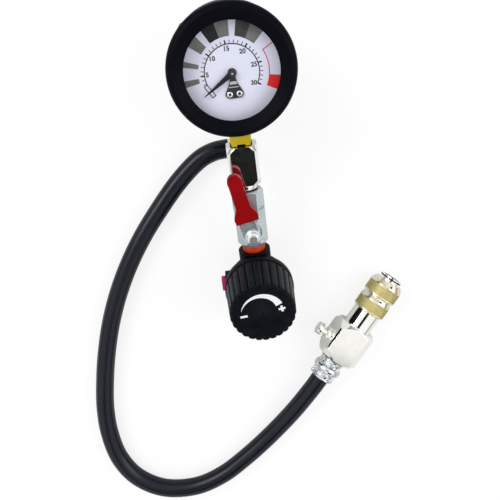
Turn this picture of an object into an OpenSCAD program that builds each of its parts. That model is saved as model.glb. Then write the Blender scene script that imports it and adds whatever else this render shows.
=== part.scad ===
// Radiator pressure tester: dial gauge, tee, mini ball valve, knob regulator, hose and quick coupler.
// The tester lies back on its elbow and on the regulator's rear cap, with the hose on the table.
// Every fitting is drawn about the tee: +Y runs up to the gauge, +Z to the dial's face.

/* [Pose] */
// Lean of the tester above the table, degrees
lean = 15; // [13:0.5:17]

/* [Gauge] */
// Outer radius of the gauge case
case_r = 31.5; // [30:0.5:32]
// Thickness of the boot's rim outside the case
boot_wall = 5; // [4:0.5:6]
// Width of the boot's lip over the edge of the case
lip_w = 4.5; // [3.5:0.5:6]
// Wall of the gauge case
case_wall = 1; // [0.8:0.1:1.5]
// Distance from the tee's centre to the gauge's centre
gauge_y = 59; // [56:0.5:66]
// Drop of the pointer's pivot below the gauge's centre
pivot_drop = 1.7; // [0:0.1:2.5]
// Length of the pointer from its centre to its tip
pointer_len = 20.8; // [16:0.2:24]
// Across flats of the brass gauge stem
stem_af = 13; // [12:0.5:13.5]

/* [Tee] */
// Across flats of the square tee bar
tee_af = 19; // [17:0.5:21]
// Length of the tee bar along the gauge's stem
tee_len = 25; // [22:1:28]
// Radius of the quarter-inch pipe threads
thread_r = 6; // [5.6:0.1:6.2]
// Distance from the tee's centre back to the hose elbow's centre
elbow_back = 36; // [32:1:44]

/* [Valve] */
// Across flats of the valve's upper hexagon
valve_hex_af = 18; // [17:0.5:20]
// Width of the valve body
valve_w = 20; // [19:0.5:22]
// Length of the valve's upper hexagon
end_len = 12.8; // [9:0.2:15]
// Length of the valve body
valve_len = 26.2; // [25:0.2:30]
// Radius of the valve's ball
ball_r = 6; // [5:0.2:6.4]
// Radius of the bore through the ball
ball_bore_r = 3.2; // [2.5:0.1:3.6]
// Length of the lever from its pivot to its tip
lever_len = 43; // [38:1:50]
// Width of the lever's grip
grip_w = 8.6; // [7.5:0.1:10]
// Width of the grip's flared foot
grip_foot_w = 15.4; // [12:0.2:16]
// Turn of the lever at rest from full open, degrees
lever_rest = 10.5; // [0:0.5:15]

/* [Regulator] */
// Radius of the regulator's round body
reg_r = 18.5; // [17.5:0.5:20]
// Radius of the regulator's port bosses
port_r = 10.6; // [9.5:0.1:11]
// Distance from the outlet port's face to the regulator's axis
port_rise = 23.9; // [22:0.1:30]
// Distance from the regulator's axis to the inlet port's face
inlet_drop = 29; // [26:0.5:32]
// Depth of the regulator body behind its axis
reg_depth = 12; // [11:0.5:14]
// Radius of the ring behind the knob
flange_r = 23.2; // [22:0.2:24.5]
// Radius of the knob at its rear edge
knob_r = 22.8; // [21.5:0.1:24]
// Radius of the knob at its front face
knob_face_r = 21; // [19:0.1:22]
// Length of the knob
knob_len = 28; // [27:0.5:34]
// Number of ribs round the knob
knob_ribs = 26; // [20:1:32]
// Depth of the grooves between the ribs
knob_groove = 1.1; // [0.6:0.1:1.4]
// Thread pitch of the adjusting screw
screw_pitch = 1.25; // [1:0.25:1.75]

/* [Hose] */
// Outer diameter of the hose
hose_d = 13; // [12:0.5:14]

/* [Coupler] */
// Across flats of the coupler's square block
block_af = 27; // [25:0.5:29]
// Chamfer along the edges of the coupler's block
block_chamfer = 2; // [1:0.2:3.6]
// Length of the coupler's block
block_len = 28.3; // [26:0.5:32]
// Length of the crimped ferrule
ferrule_len = 17.7; // [17:0.5:22]
// Radius of the coupler's plain barrel
barrel_r = 10; // [9.4:0.1:10.6]
// Length of the plain barrel that shows
barrel_len = 13.6; // [12:0.2:18]
// Outer radius of the locking sleeve
sleeve_r = 11.6; // [11.2:0.1:12.6]
// Length of the locking sleeve
sleeve_len = 25.8; // [25:0.2:29]
// Radius of the coupler's nose
nose_r = 7.4; // [7.2:0.1:7.8]
// Radius of the socket in the nose
socket_r = 5.2; // [4.8:0.1:5.4]
// Travel of the locking sleeve
sleeve_travel = 4; // [2:0.5:4]

/* [Hidden] */
$fn = 64;

// Clearances: fit between fixed round pieces, running fit, and free gap round moving pieces
fit = 0.1;
run = 0.05;
free = 0.4;
eps = 0.01;

// Gauge stack along the dial's axis, from the tee's centre plane to the front
case_back = -11.5;
case_front = 17.4;
lens_t = 1.8;
ring_t = 1.4;
boot_back_t = 2.5;
boot_front = 24;
boot_r = case_r + boot_wall;
boot_lip_r = boot_wall - 0.6;
boot_wall_r = boot_r - 0.9;
boot_back_hole_r = case_r - 7.5;
boot_round = 3;
nub_len = 14;
window_r = case_r - lip_w;
lens_z = case_front;
ring_z = lens_z + lens_t;
boot_in_front = ring_z + ring_t + fit;
boot_back = case_back - boot_back_t;
case_in_r = case_r - case_wall;
case_floor = case_back + case_wall;
dial_z = 12;
dial_t = 0.8;
dial_r = case_in_r - 0.3;
bracket_z = dial_z + dial_t;
bracket_t = 1;
bracket_head_r = 2.6;
bracket_foot_w = 10.4;
screw_x = 2.75;
screw_y = -11.7;
screw_head_r = 1.75;
screw_head_t = 1.1;
screw_shank_r = 0.9;
post_r = 1.7;
pointer_z = bracket_z + bracket_t + 0.6;
pointer_t = 0.6;
pointer_w = 3.4;
hub_r = 1.9;
hub_t = 1.9;
arbor_r = 0.7;
// The pointer rests a little above zero, as a pin stop holds it
pointer_rest = 213;
blowout_r = 6;
blowout_y = case_r - 14.5;
boss_hole_r = 9.6;

// Movement: a sector of 12 mm pitch radius turns a pinion of 1.5 mm pitch radius
tooth_count = 10;
tooth_ratio = 8;
pinion_pitch_r = 1.5;
sector_pitch_r = pinion_pitch_r * tooth_ratio;
tooth_h = 0.3;
tooth_root = 0.45;
tooth_share = 0.3;
tooth_lap = 0.08;
sector_dir = 200;
sector_c = sector_pitch_r + pinion_pitch_r;
sector_x = sector_c * cos(sector_dir);
sector_y = sector_c * sin(sector_dir);
sector_teeth = tooth_count * tooth_ratio;
sector_cut = 11;
sector_span = sector_cut * 360 / sector_teeth - 5.5;
sector_rim = 2.4;
sector_start = 6;
sector_z = 3;
sector_t = 1.2;
pinion_t = 2;
plate_t = 1.2;
plate_w = 9;
front_plate_z = 6;
back_plate_z = -3.2;
hub_plate_r = 4;
pivot_r = 0.8;
sector_hub_r = 2;
spoke_in = 1.3;
spoke_inset = 7;
spoke_w = 1.8;
tail_len = 8;
tail_w = 2;
tail_pin_r = 0.6;
link_z = sector_z + sector_t + 0.3;
link_t = 0.7;
link_w = 2;
tube_r = 23;
tube_w = 3;
tube_h = 7;
tube_from = -71;
tube_to = 236;
tail_dir = -100;
tail_x = sector_x + tail_len * cos(tail_dir);
tail_y = sector_y + tail_len * sin(tail_dir);
link_reach_x = tube_r * cos(tube_to) - tail_x;
link_reach_y = tube_r * sin(tube_to) + pivot_drop - tail_y;
lug_r = 2.7;
lug_h = tube_h - 1;
stem_top = -13;
seat_y = stem_top + pivot_drop;
seat_w = 14;
seat_len = 14;
seat_h = 12;
stem_foot_w = 11.2;
stem_taper = 3;

// Tee, nipples and elbow
tee_h = tee_len / 2;
tee_chamfer = 2;
turn_in = 0.6;
turn_len = 4;
thread_depth = 7.5;
passage_r = 3;
stem_gap_y = 0.4;
nipple_collar_r = 7.4;
nipple_collar_len = 3.8;
nipple_seal_t = 0.9;
elbow_r = hose_d / 2;
elbow_arm_r = elbow_r - 0.4;
elbow_arm = 8;
nipple_hex_af = 14;
nipple_hex_len = 6;
rear_depth = tee_af / 2 - thread_r - 0.3;

// Valve stations along the pipe, measured down from the tee's centre
end_top = tee_h + nipple_collar_len + nipple_seal_t;
end_neck_r = 7.6;
valve_top = end_top + end_len;
valve_bottom = valve_top + valve_len;
valve_axis = valve_bottom - 13;
seat_off = ball_r * 0.72;
valve_seat_t = 1.4;
valve_seat_r = ball_r - 0.4;
seat_far = seat_off + valve_seat_t / 2;
seat_lap = 0.6;
relief_r = ball_bore_r + 0.8;
end_neck_len = valve_axis - seat_far + seat_lap - valve_top;
cavity_r = ball_r + 0.5;
spigot_len = 9;
gland_r = 5;
gland_front = 15;
boss_front = 12;
boss_r = 6.4;
stem_r = 2.5;
tang_t = 1.6;
washer_z = 15.6;
washer_t = 0.8;
lever_z = washer_z + washer_t;
lever_t = 2;
lever_w = 9;
nut_af = 8.6;
nut_flange_r = nut_af / 2 + 0.7;
nut_t = 4;
stud_front = lever_z + lever_t + nut_t + 1;
grip_t = 4.6;
grip_start = 11;
foot_end = grip_start + 7;
grip_tip_r = grip_w / 2 + 0.2;
grip_wall = 1.2;

// Regulator stations
seal_t = 4.2;
seal_r = 7.6;
reg_top = valve_bottom + seal_t;
reg_axis = reg_top + port_rise;
reg_bottom = reg_axis + inlet_drop;
reg_back = -reg_depth;
reg_step = -3;
reg_rear_r = 13.5;
reg_front = 8;
cap_r = 11;
cap_wall = 2;
cap_spigot = 4.8;
chamber_r = 13;
chamber_z = 5;
diaphragm_t = 1;
diaphragm_r = 16;
flange_z = reg_front + diaphragm_t;
flange_t = 6.6;
neck_r = 14;
neck_in_r = 11;
neck_len = 24;
knob_z = flange_z + flange_t + free;
knob_front = knob_z + knob_len;
knob_wall = 3;
knob_pocket = 10;
knob_top_t = 4;
print_r = 15.4;
print_d = 0.5;
screw_r = 4;
screw_flange_r = 6;
spring_seat_z = 27;
seat_t = 3;
seat_r = 8;
key_r = 12;
key_w = 3;
knob_turns = 4;
screw_end = spring_seat_z - seat_t - knob_turns * screw_pitch - 1;
spring_wire = 2;
spring_r = 6.5;
port_hole_r = 5.8;
port_depth = 12;
inlet_start = 24;
side_boss_r = 8.4;
side_x = 24.1;
plug_r = 5.2;
plug_head = 2.7;
plug_lip = 0.9;
plug_pin_r = 4;
poppet_r = 3;
poppet_t = 2;
poppet_top = 0.9;
poppet_bore_r = poppet_r + free + 1.4;

// The tester lies on the elbow and on the lower edge of the rear cap
tee_z = elbow_back * cos(lean) + elbow_r;
cap_s = reg_axis + cap_r;
cap_depth = (tee_z - cap_s * sin(lean)) / cos(lean);
body_top = (gauge_y + boot_wall_r) * cos(lean) - (boot_back + boot_round) * sin(lean) + 0.6;
body_low = -(reg_axis + knob_face_r) * cos(lean) - knob_front * sin(lean);
tee_y = -(body_top + body_low) / 2;
hose_y = tee_y + elbow_back * sin(lean);

// Coupler stations along its axis, from the mouth of the ferrule
coupler_x = 36.5;
coupler_y = -153.3;
heading = 49.5;
block_s = ferrule_len;
barrel_s = block_s + block_len;
sleeve_s = barrel_s + barrel_len;
nose_s = sleeve_s + sleeve_len;
tip_s = nose_s + 3.6;
coupler_z = block_af / 2;
hose_in = 14;
core_r = 8.4;
bleed_s = block_s + 12.5;
bleed_hole_r = 3.5;
bleed_neck_r = 2.5;
bleed_base_r = 5;
bleed_base_t = 3;
bleed_head_r = 4.4;
bleed_head_t = 3.6;
bleed_travel = 2;
bleed_neck_t = bleed_travel + 1.4;
bleed_rest = bleed_base_t + bleed_neck_t;
ball_s = nose_s - 6.7;
lock_ball_r = 1.6;
lead_r = socket_r + 0.4;
lead_len = 6;
shut_s = barrel_s + 12;
shut_t = 3;
shut_pin = 2;
step_s = sleeve_s + 5;
gas_r = 3.2;

// Hose route on the table, from the elbow to the ferrule
route = [
    [-elbow_arm, hose_y, 6.5], [-19, 17.4, 6.5], [-30.5, 12.6, 6.5], [-46, 0, 6.5],
    [-62, -17, 6.5], [-77, -35, 6.5], [-90, -54, 6.5], [-101, -74, 6.5],
    [-110, -95, 6.5], [-117, -117, 6.5], [-122, -138, 6.5], [-125.5, -159, 6.5],
    [-126, -180, 6.5], [-122, -201.5, 6.5], [-111, -219.5, 6.5], [-92, -231.5, 6.5],
    [-68, -233.5, 6.5], [-46, -226.5, 6.5], [-26, -214, 6.5], [-6, -198.5, 7],
    [13, -180.5, 9.5], [28.5, -163, 12.5], [coupler_x, coupler_y, coupler_z],
    [coupler_x + hose_in * cos(heading), coupler_y + hose_in * sin(heading), coupler_z]
];
hose_sides = 12;

// ---- placing ----
module tester() translate([0, tee_y, tee_z]) rotate([lean, 0, 0]) children();
module at_gauge() tester() translate([0, gauge_y, 0]) children();
module at_pivot() at_gauge() translate([0, -pivot_drop, 0]) children();
module down_pipe(s) tester() translate([0, -s, 0]) rotate([90, 0, 0]) children();
module at_valve() tester() translate([0, -valve_axis, 0]) rotate([0, 0, lever_rest]) children();
module at_knob() tester() translate([0, -reg_axis, 0]) children();
module at_coupler(s = 0) translate([coupler_x, coupler_y, coupler_z])
    rotate([0, 0, heading]) rotate([0, 90, 0]) translate([0, 0, s]) children();

// ---- shared shapes ----
module tube(r_out, r_in, h) difference() {
    cylinder(r = r_out, h = h);
    translate([0, 0, -1]) cylinder(r = r_in, h = h + 2);
}

module hexagon(af, h) cylinder(r = af / 2 / cos(30), h = h, $fn = 6);

// Square bar with chamfered edges
module bar(af, chamfer, h) {
    a = af / 2;
    b = a - chamfer;
    linear_extrude(height = h)
        polygon([[a, -b], [a, b], [b, a], [-b, a], [-a, b], [-a, -b], [-b, -a], [b, -a]]);
}

// Turned envelope: a solid of revolution whose ends draw in
module turned(r, r_end, slope, h) rotate_extrude()
    polygon([[0, 0], [r_end, 0], [r, slope], [r, h - slope], [r_end, h], [0, h]]);

module turned_bar(af, chamfer, h, draw_in, slope) intersection() {
    bar(af, chamfer, h);
    turned(af / 2 + 3, af / 2 + 3 - draw_in - 1.6, slope, h);
}

// Spring: one unbroken tube wound at an even pitch
module coil(r, wire, h, turns) {
    steps = 16;
    sides = 6;
    n = turns * steps;
    rise = h - wire;
    points = [for (i = [0:n], k = [0:sides - 1])
        let (a = 360 * i / steps, b = 360 * k / sides, q = r + wire / 2 * cos(b))
        [q * cos(a), q * sin(a), wire / 2 + rise * i / n + wire / 2 * sin(b)]];
    first = [[for (k = [0:sides - 1]) k]];
    last = [[for (k = [sides - 1:-1:0]) n * sides + k]];
    walls = [for (i = [0:n - 1], k = [0:sides - 1]) let (m = (k + 1) % sides)
        [i * sides + k, (i + 1) * sides + k, (i + 1) * sides + m]];
    walls2 = [for (i = [0:n - 1], k = [0:sides - 1]) let (m = (k + 1) % sides)
        [i * sides + k, (i + 1) * sides + m, i * sides + m]];
    polyhedron(points, concat(first, last, walls, walls2));
}

// ---- gauge ----
module gauge_boot() color([0.06, 0.06, 0.08]) at_gauge() difference() {
    union() {
        rotate_extrude() union() {
            translate([0, boot_back + boot_round])
                square([boot_wall_r, boot_front - boot_lip_r - boot_back - boot_round]);
            translate([0, boot_back]) square([boot_wall_r - boot_round, boot_round]);
            translate([boot_wall_r - boot_round, boot_back + boot_round]) circle(r = boot_round);
            translate([boot_r - boot_lip_r, boot_front - boot_lip_r]) circle(r = boot_lip_r);
            translate([0, boot_front - boot_lip_r]) square([boot_r - boot_lip_r, boot_lip_r]);
        }
        rotate([0, 0, 134]) translate([boot_wall_r - 0.6, 0, 2]) cylinder(r = 1.6, h = nub_len);
    }
    translate([0, 0, boot_back - 1]) cylinder(r = boot_back_hole_r, h = boot_back_t + 2);
    translate([0, 0, case_back - eps]) cylinder(r = case_r + fit, h = boot_in_front - case_back);
    translate([0, 0, boot_in_front - 0.1])
        cylinder(r1 = window_r - 0.4, r2 = boot_r - boot_lip_r + 1, h = boot_front - boot_in_front + 0.2);
    rotate([90, 0, 0]) cylinder(r = boss_hole_r, h = boot_r + 2);
}

module gauge_case() color([0.16, 0.16, 0.17]) at_gauge() difference() {
    translate([0, 0, case_back]) cylinder(r = case_r, h = case_front - case_back);
    translate([0, 0, case_floor]) cylinder(r = case_in_r, h = case_front - case_floor + 1);
    translate([0, blowout_y, case_back - 1]) cylinder(r = blowout_r, h = case_wall + 2);
    translate([-stem_af / 2 - fit, -case_r - 1, -stem_af / 2 - fit])
        cube([stem_af + 2 * fit, case_wall + 4, stem_af + 2 * fit]);
}

module window() color([0.85, 0.9, 0.95, 0.3]) at_gauge()
    translate([0, 0, lens_z]) cylinder(r = case_r - fit, h = lens_t);

module window_ring() color([0.05, 0.05, 0.05]) at_gauge()
    translate([0, 0, ring_z]) tube(case_r - fit, window_r + 1.4, ring_t);

module blowout_disc() color([0.1, 0.1, 0.1]) at_gauge() translate([0, blowout_y, case_back]) {
    cylinder(r = blowout_r - fit, h = case_wall);
    translate([0, 0, case_wall]) cylinder(r = blowout_r + 1.2, h = 0.8);
}

module dial_plate() color([0.9, 0.9, 0.97]) difference() {
    at_gauge() translate([0, 0, dial_z]) cylinder(r = dial_r, h = dial_t);
    at_pivot() translate([0, 0, dial_z - 1]) cylinder(r = hub_r, h = dial_t + 2);
    at_pivot() screw_places() translate([0, 0, dial_z - 1])
        cylinder(r = screw_shank_r + fit, h = dial_t + 2);
}

module screw_places() for (side = [-1, 1]) translate([side * screw_x, screw_y, 0]) children();

module dial_bracket() color([0.25, 0.25, 0.26]) at_pivot() difference() {
    union() {
        translate([0, 0, bracket_z]) cylinder(r = bracket_head_r, h = bracket_t);
        translate([0, 0, bracket_z]) linear_extrude(height = bracket_t) polygon([
            [-bracket_head_r * 0.7, 0], [bracket_head_r * 0.7, 0],
            [bracket_foot_w / 2, screw_y], [-bracket_foot_w / 2, screw_y]]);
        screw_places() translate([0, 0, bracket_z])
            cylinder(r = bracket_foot_w / 2 - screw_x, h = bracket_t);
        translate([-screw_x, screw_y - bracket_foot_w / 2 + screw_x, bracket_z])
            cube([2 * screw_x, 3, bracket_t]);
    }
    translate([0, 0, bracket_z - 1]) cylinder(r = arbor_r + 0.3, h = bracket_t + 2);
    screw_places() translate([0, 0, bracket_z - 1]) cylinder(r = screw_shank_r + fit, h = bracket_t + 2);
}

module bracket_screws() color([0.8, 0.8, 0.8]) at_pivot() screw_places() difference() {
    union() {
        translate([0, 0, bracket_z + bracket_t]) cylinder(r = screw_head_r, h = screw_head_t);
        translate([0, 0, front_plate_z + plate_t + 1])
            cylinder(r = screw_shank_r, h = bracket_z + bracket_t - front_plate_z - plate_t - 1 + eps);
    }
    translate([-0.25, -screw_head_r - 1, bracket_z + bracket_t + screw_head_t - 0.5])
        cube([0.5, 2 * screw_head_r + 2, 1]);
}

module pointer() color([0.03, 0.03, 0.03]) at_pivot() rotate([0, 0, pointer_rest]) difference() {
    union() {
        translate([0, 0, pointer_z]) linear_extrude(height = pointer_t) polygon([
            [-1, -pointer_w / 2], [2, -pointer_w / 2], [pointer_len, -0.15],
            [pointer_len, 0.15], [2, pointer_w / 2], [-1, pointer_w / 2]]);
        translate([0, 0, pointer_z]) cylinder(r = hub_r, h = hub_t);
    }
    translate([0, 0, pointer_z - 1]) cylinder(r = arbor_r + eps, h = hub_t);
}

// Thin straight-sided teeth leave room for the mesh to roll
module teeth(r, count, of_count, h) for (i = [0:count - 1]) rotate([0, 0, 360 * i / of_count])
    translate([r - tooth_root, -PI * r / of_count * tooth_share, 0])
        cube([tooth_root + tooth_h, 2 * PI * r / of_count * tooth_share, h]);

module pointer_arbor() color([0.8, 0.7, 0.4]) at_pivot() {
    translate([0, 0, back_plate_z + 0.2])
        cylinder(r = arbor_r, h = pointer_z + hub_t - 1 - back_plate_z - 0.2);
    translate([0, 0, sector_z - (pinion_t - sector_t) / 2]) {
        cylinder(r = pinion_pitch_r - tooth_root + tooth_lap, h = pinion_t);
        rotate([0, 0, sector_dir + 180 / tooth_count])
            teeth(pinion_pitch_r, tooth_count, tooth_count, pinion_t);
    }
}

module hairspring() color([0.6, 0.5, 0.3]) at_pivot() translate([0, 0, 0.4]) {
    tube(3.6, 3.2, 0.8);
    tube(2.6, 2.2, 0.8);
    tube(1.5, arbor_r + 0.3, 0.8);
    translate([1.3, -0.2, 0]) cube([2.2, 0.4, 0.8]);
}

module sector_gear() color([0.8, 0.7, 0.4]) at_pivot() translate([sector_x, sector_y, sector_z]) {
    difference() {
        union() {
            cylinder(r = sector_hub_r, h = sector_t);
            rotate([0, 0, sector_dir - 180]) {
                rotate([0, 0, -sector_span]) rotate_extrude(angle = sector_span + sector_start)
                    translate([sector_pitch_r - sector_rim, 0])
                        square([sector_rim - tooth_root + tooth_lap, sector_t]);
                for (turn = [sector_start - spoke_inset, spoke_inset - sector_span]) rotate([0, 0, turn])
                    translate([spoke_in, -spoke_w / 2, 0])
                        cube([sector_pitch_r - sector_rim / 2 - spoke_in, spoke_w, sector_t]);
                rotate([0, 0, -(sector_cut - 2) * 360 / sector_teeth])
                    teeth(sector_pitch_r, sector_cut, sector_teeth, sector_t);
            }
            rotate([0, 0, tail_dir]) {
                translate([spoke_in, -tail_w / 2, 0]) cube([tail_len - spoke_in, tail_w, sector_t]);
                translate([tail_len, 0, 0]) cylinder(r = tail_w / 2 + 0.3, h = sector_t);
                translate([tail_len, 0, 0]) cylinder(r = tail_pin_r, h = sector_t + link_t + 0.5);
            }
        }
        translate([0, 0, -1]) cylinder(r = pivot_r + run, h = sector_t + 2);
    }
}

module tip_link() color([0.7, 0.7, 0.7]) at_pivot() translate([tail_x, tail_y, link_z]) difference() {
    union() {
        cylinder(r = link_w / 2 + 0.3, h = link_t);
        rotate([0, 0, atan2(link_reach_y, link_reach_x)]) translate([0, -link_w / 2, 0])
            cube([norm([link_reach_x, link_reach_y]), link_w, link_t]);
        translate([link_reach_x, link_reach_y, 0]) cylinder(r = link_w / 2 + 0.3, h = link_t);
    }
    translate([0, 0, -1]) cylinder(r = tail_pin_r + run, h = link_t + 2);
}

module plate_outline(h) {
    translate([-plate_w / 2, seat_y - 11, 0]) cube([plate_w, 11 - seat_y, h]);
    cylinder(r = hub_plate_r, h = h);
    translate([sector_x, sector_y, 0]) cylinder(r = 3, h = h);
    rotate([0, 0, sector_dir]) translate([0, -2, 0]) cube([sector_c, 4, h]);
}

module movement_front_plate() color([0.78, 0.7, 0.45]) at_pivot() difference() {
    union() {
        translate([0, 0, front_plate_z]) plate_outline(plate_t);
        screw_places() translate([0, 0, front_plate_z])
            cylinder(r = post_r, h = dial_z - front_plate_z);
    }
    translate([0, 0, front_plate_z - 1]) cylinder(r = arbor_r + run, h = plate_t + 2);
    translate([sector_x, sector_y, front_plate_z - 1]) cylinder(r = pivot_r + fit, h = plate_t + 2);
    screw_places() translate([0, 0, front_plate_z + plate_t + 1 - fit])
        cylinder(r = screw_shank_r + eps, h = 20);
}

// The back plate carries the sector's post and rests on the stem's seat
module movement_back_plate() color([0.78, 0.7, 0.45]) at_pivot() difference() {
    union() {
        translate([0, 0, back_plate_z]) {
            translate([-plate_w / 2, seat_y + eps, 0]) cube([plate_w, -seat_y, plate_t]);
            cylinder(r = hub_plate_r, h = plate_t);
            translate([sector_x, sector_y, 0]) cylinder(r = 3, h = plate_t);
            rotate([0, 0, sector_dir]) translate([0, -2, 0]) cube([sector_c, 4, plate_t]);
        }
        translate([sector_x, sector_y, back_plate_z])
            cylinder(r = pivot_r, h = front_plate_z + plate_t - back_plate_z);
        translate([sector_x, sector_y, back_plate_z]) cylinder(r = 1.6, h = sector_z - back_plate_z - 0.1);
    }
    translate([0, 0, back_plate_z - 1]) cylinder(r = arbor_r + run, h = plate_t + 2);
}

module bourdon_tube() color([0.75, 0.6, 0.35]) at_gauge() {
    translate([0, 0, -tube_h / 2]) rotate([0, 0, tube_from])
        rotate_extrude(angle = tube_to - tube_from)
            translate([tube_r - tube_w / 2, 0]) square([tube_w, tube_h]);
    translate([tube_r * cos(tube_to), tube_r * sin(tube_to), -lug_h / 2]) cylinder(r = lug_r, h = lug_h);
}

// Square stem with a tapered foot and a wider seat for the tube and the plates
module gauge_stem() color([0.85, 0.65, 0.2]) tester() difference() {
    foot = tee_h + stem_gap_y;
    top = gauge_y + stem_top;
    a = stem_af / 2;
    union() {
        translate([0, 0, -a]) linear_extrude(height = stem_af) polygon([
            [-stem_foot_w / 2, foot], [stem_foot_w / 2, foot], [a, foot + stem_taper],
            [a, top - seat_len + 1], [-a, top - seat_len + 1], [-a, foot + stem_taper]]);
        translate([-seat_w / 2, top - seat_len, -seat_h / 2]) cube([seat_w, seat_len, seat_h]);
        translate([0, tee_h - thread_depth + 1, 0]) rotate([-90, 0, 0])
            cylinder(r = thread_r - fit, h = thread_depth);
    }
    translate([0, tee_h - thread_depth, 0]) rotate([-90, 0, 0])
        cylinder(r = 2, h = gauge_y + stem_top - tee_h + thread_depth - 6);
}

// ---- tee and hose connection ----
module tee_block() color([0.75, 0.75, 0.72]) tester() difference() {
    translate([0, -tee_h, 0]) rotate([-90, 0, 0])
        turned_bar(tee_af, tee_chamfer, tee_len, turn_in, turn_len);
    for (end = [-1, 1]) rotate([-90 * end, 0, 0]) translate([0, 0, tee_h - thread_depth])
        cylinder(r = thread_r, h = thread_depth + 1);
    rotate([-90, 0, 0]) translate([0, 0, -tee_h]) cylinder(r = passage_r, h = tee_len);
    translate([0, 0, -tee_af]) cylinder(r = passage_r - 0.6, h = tee_af);
    translate([0, 0, -tee_af / 2 - 1]) cylinder(r = thread_r, h = rear_depth + 1.1);
}

module nipple_seal() color([0.05, 0.05, 0.05]) down_pipe(tee_h + nipple_collar_len)
    tube(nipple_collar_r - 0.3, thread_r, nipple_seal_t);

module valve_nipple() color([0.8, 0.8, 0.8]) down_pipe(tee_h) difference() {
    union() {
        cylinder(r = nipple_collar_r, h = nipple_collar_len);
        translate([0, 0, -thread_depth + 1]) cylinder(r = thread_r - fit, h = thread_depth);
        translate([0, 0, nipple_collar_len - 1]) cylinder(r = thread_r - fit, h = 8);
    }
    translate([0, 0, -20]) cylinder(r = passage_r, h = 40);
}

module rear_nipple() color([0.8, 0.8, 0.78]) tester() {
    z0 = tee_af / 2;
    length = elbow_back - z0 - elbow_r + 3;
    difference() {
        union() {
            translate([0, 0, -z0 - length]) cylinder(r = thread_r - 1, h = length + rear_depth);
            translate([0, 0, -z0 - nipple_hex_len - 1]) hexagon(nipple_hex_af, nipple_hex_len);
            translate([0, 0, -z0]) cylinder(r = thread_r - fit, h = rear_depth);
        }
        translate([0, 0, -60]) cylinder(r = passage_r, h = 80);
    }
}

module rear_elbow() color([0.8, 0.8, 0.78]) difference() {
    union() {
        translate([0, hose_y, elbow_r]) sphere(r = elbow_r);
        translate([-elbow_arm, hose_y, elbow_r]) rotate([0, 90, 0])
            cylinder(r = elbow_arm_r, h = elbow_arm);
        tester() translate([0, 0, -elbow_back])
            cylinder(r = elbow_arm_r, h = elbow_back - tee_af / 2 - nipple_hex_len - 1 - 0.5);
    }
    tester() translate([0, 0, -elbow_back + elbow_r - 3 - eps])
        cylinder(r = thread_r - 1 + fit, h = 30);
    translate([0, hose_y, elbow_r]) sphere(r = passage_r + 0.3);
    tester() translate([0, 0, -elbow_back]) cylinder(r = passage_r, h = 20);
    translate([-elbow_arm - 1, hose_y, elbow_r]) rotate([0, 90, 0])
        cylinder(r = passage_r, h = elbow_arm + 1);
}

// ---- ball valve ----
module valve_end() color([0.72, 0.76, 0.78]) down_pipe(end_top) difference() {
    union() {
        intersection() {
            hexagon(valve_hex_af, end_len);
            turned(valve_hex_af / 2 + 2, valve_hex_af / 2 - 0.2, 2, end_len + 3);
        }
        cylinder(r = end_neck_r, h = end_len + end_neck_len);
    }
    translate([0, 0, -1]) cylinder(r = thread_r, h = 9.5);
    cylinder(r = ball_bore_r, h = 40);
    translate([0, 0, end_len + end_neck_len - seat_lap]) cylinder(r = valve_seat_r + fit, h = 3);
    translate([0, 0, end_len + end_neck_len - seat_lap - 1.4]) cylinder(r = relief_r, h = 3);
}

module valve_body() color([0.72, 0.76, 0.78]) tester() difference() {
    union() {
        translate([0, -valve_top, 0]) rotate([90, 0, 0]) intersection() {
            rotate([0, 0, 22.5]) cylinder(r = valve_w / 2 / cos(22.5), h = valve_len, $fn = 8);
            translate([0, 0, -4]) turned(valve_w / 2 + 1, valve_w / 2 - 2, 4, valve_len + 4);
        }
        translate([0, -valve_axis, 0]) cylinder(r = boss_r, h = boss_front);
        translate([0, -valve_bottom + eps, 0]) rotate([90, 0, 0])
            cylinder(r = thread_r - fit, h = spigot_len);
    }
    translate([0, -valve_top + 1, 0]) rotate([90, 0, 0])
        cylinder(r = end_neck_r + fit, h = end_neck_len + 1 + fit);
    translate([0, -valve_axis + seat_far, 0]) rotate([90, 0, 0]) cylinder(r = cavity_r, h = 2 * seat_far);
    translate([0, -valve_axis, 0]) rotate([90, 0, 0]) cylinder(r = relief_r, h = seat_far + 1.4);
    rotate([90, 0, 0]) cylinder(r = ball_bore_r, h = 100);
    translate([0, -valve_axis, 0]) cylinder(r = stem_r + run, h = 30);
    translate([0, -valve_axis, boss_front - 3.5]) cylinder(r = gland_r - 1 + fit, h = 5);
}

module valve_ball() color([0.85, 0.85, 0.85]) at_valve() difference() {
    sphere(r = ball_r);
    rotate([90, 0, 0]) translate([0, 0, -10]) cylinder(r = ball_bore_r, h = 20);
    translate([-tang_t / 2 - run, -10, ball_r - 1.8]) cube([tang_t + 2 * run, 20, 10]);
}

// Seats: two rings whose bores fit round the ball with a hair of room
module valve_seats() color([0.95, 0.95, 0.92]) tester() difference() {
    for (end = [-1, 1]) translate([0, -valve_axis - end * seat_off, 0]) rotate([90, 0, 0])
        translate([0, 0, -valve_seat_t / 2]) cylinder(r = valve_seat_r, h = valve_seat_t);
    translate([0, -valve_axis, 0]) sphere(r = ball_r + run);
    rotate([90, 0, 0]) cylinder(r = ball_bore_r, h = 100);
}

module valve_stem() color([0.8, 0.8, 0.8]) at_valve() {
    translate([-tang_t / 2, -stem_r + 0.4, ball_r - 1.7]) cube([tang_t, 2 * stem_r - 0.8, 3]);
    translate([0, 0, ball_r + 0.1]) cylinder(r = stem_r, h = stud_front - ball_r - 0.1);
}

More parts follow.
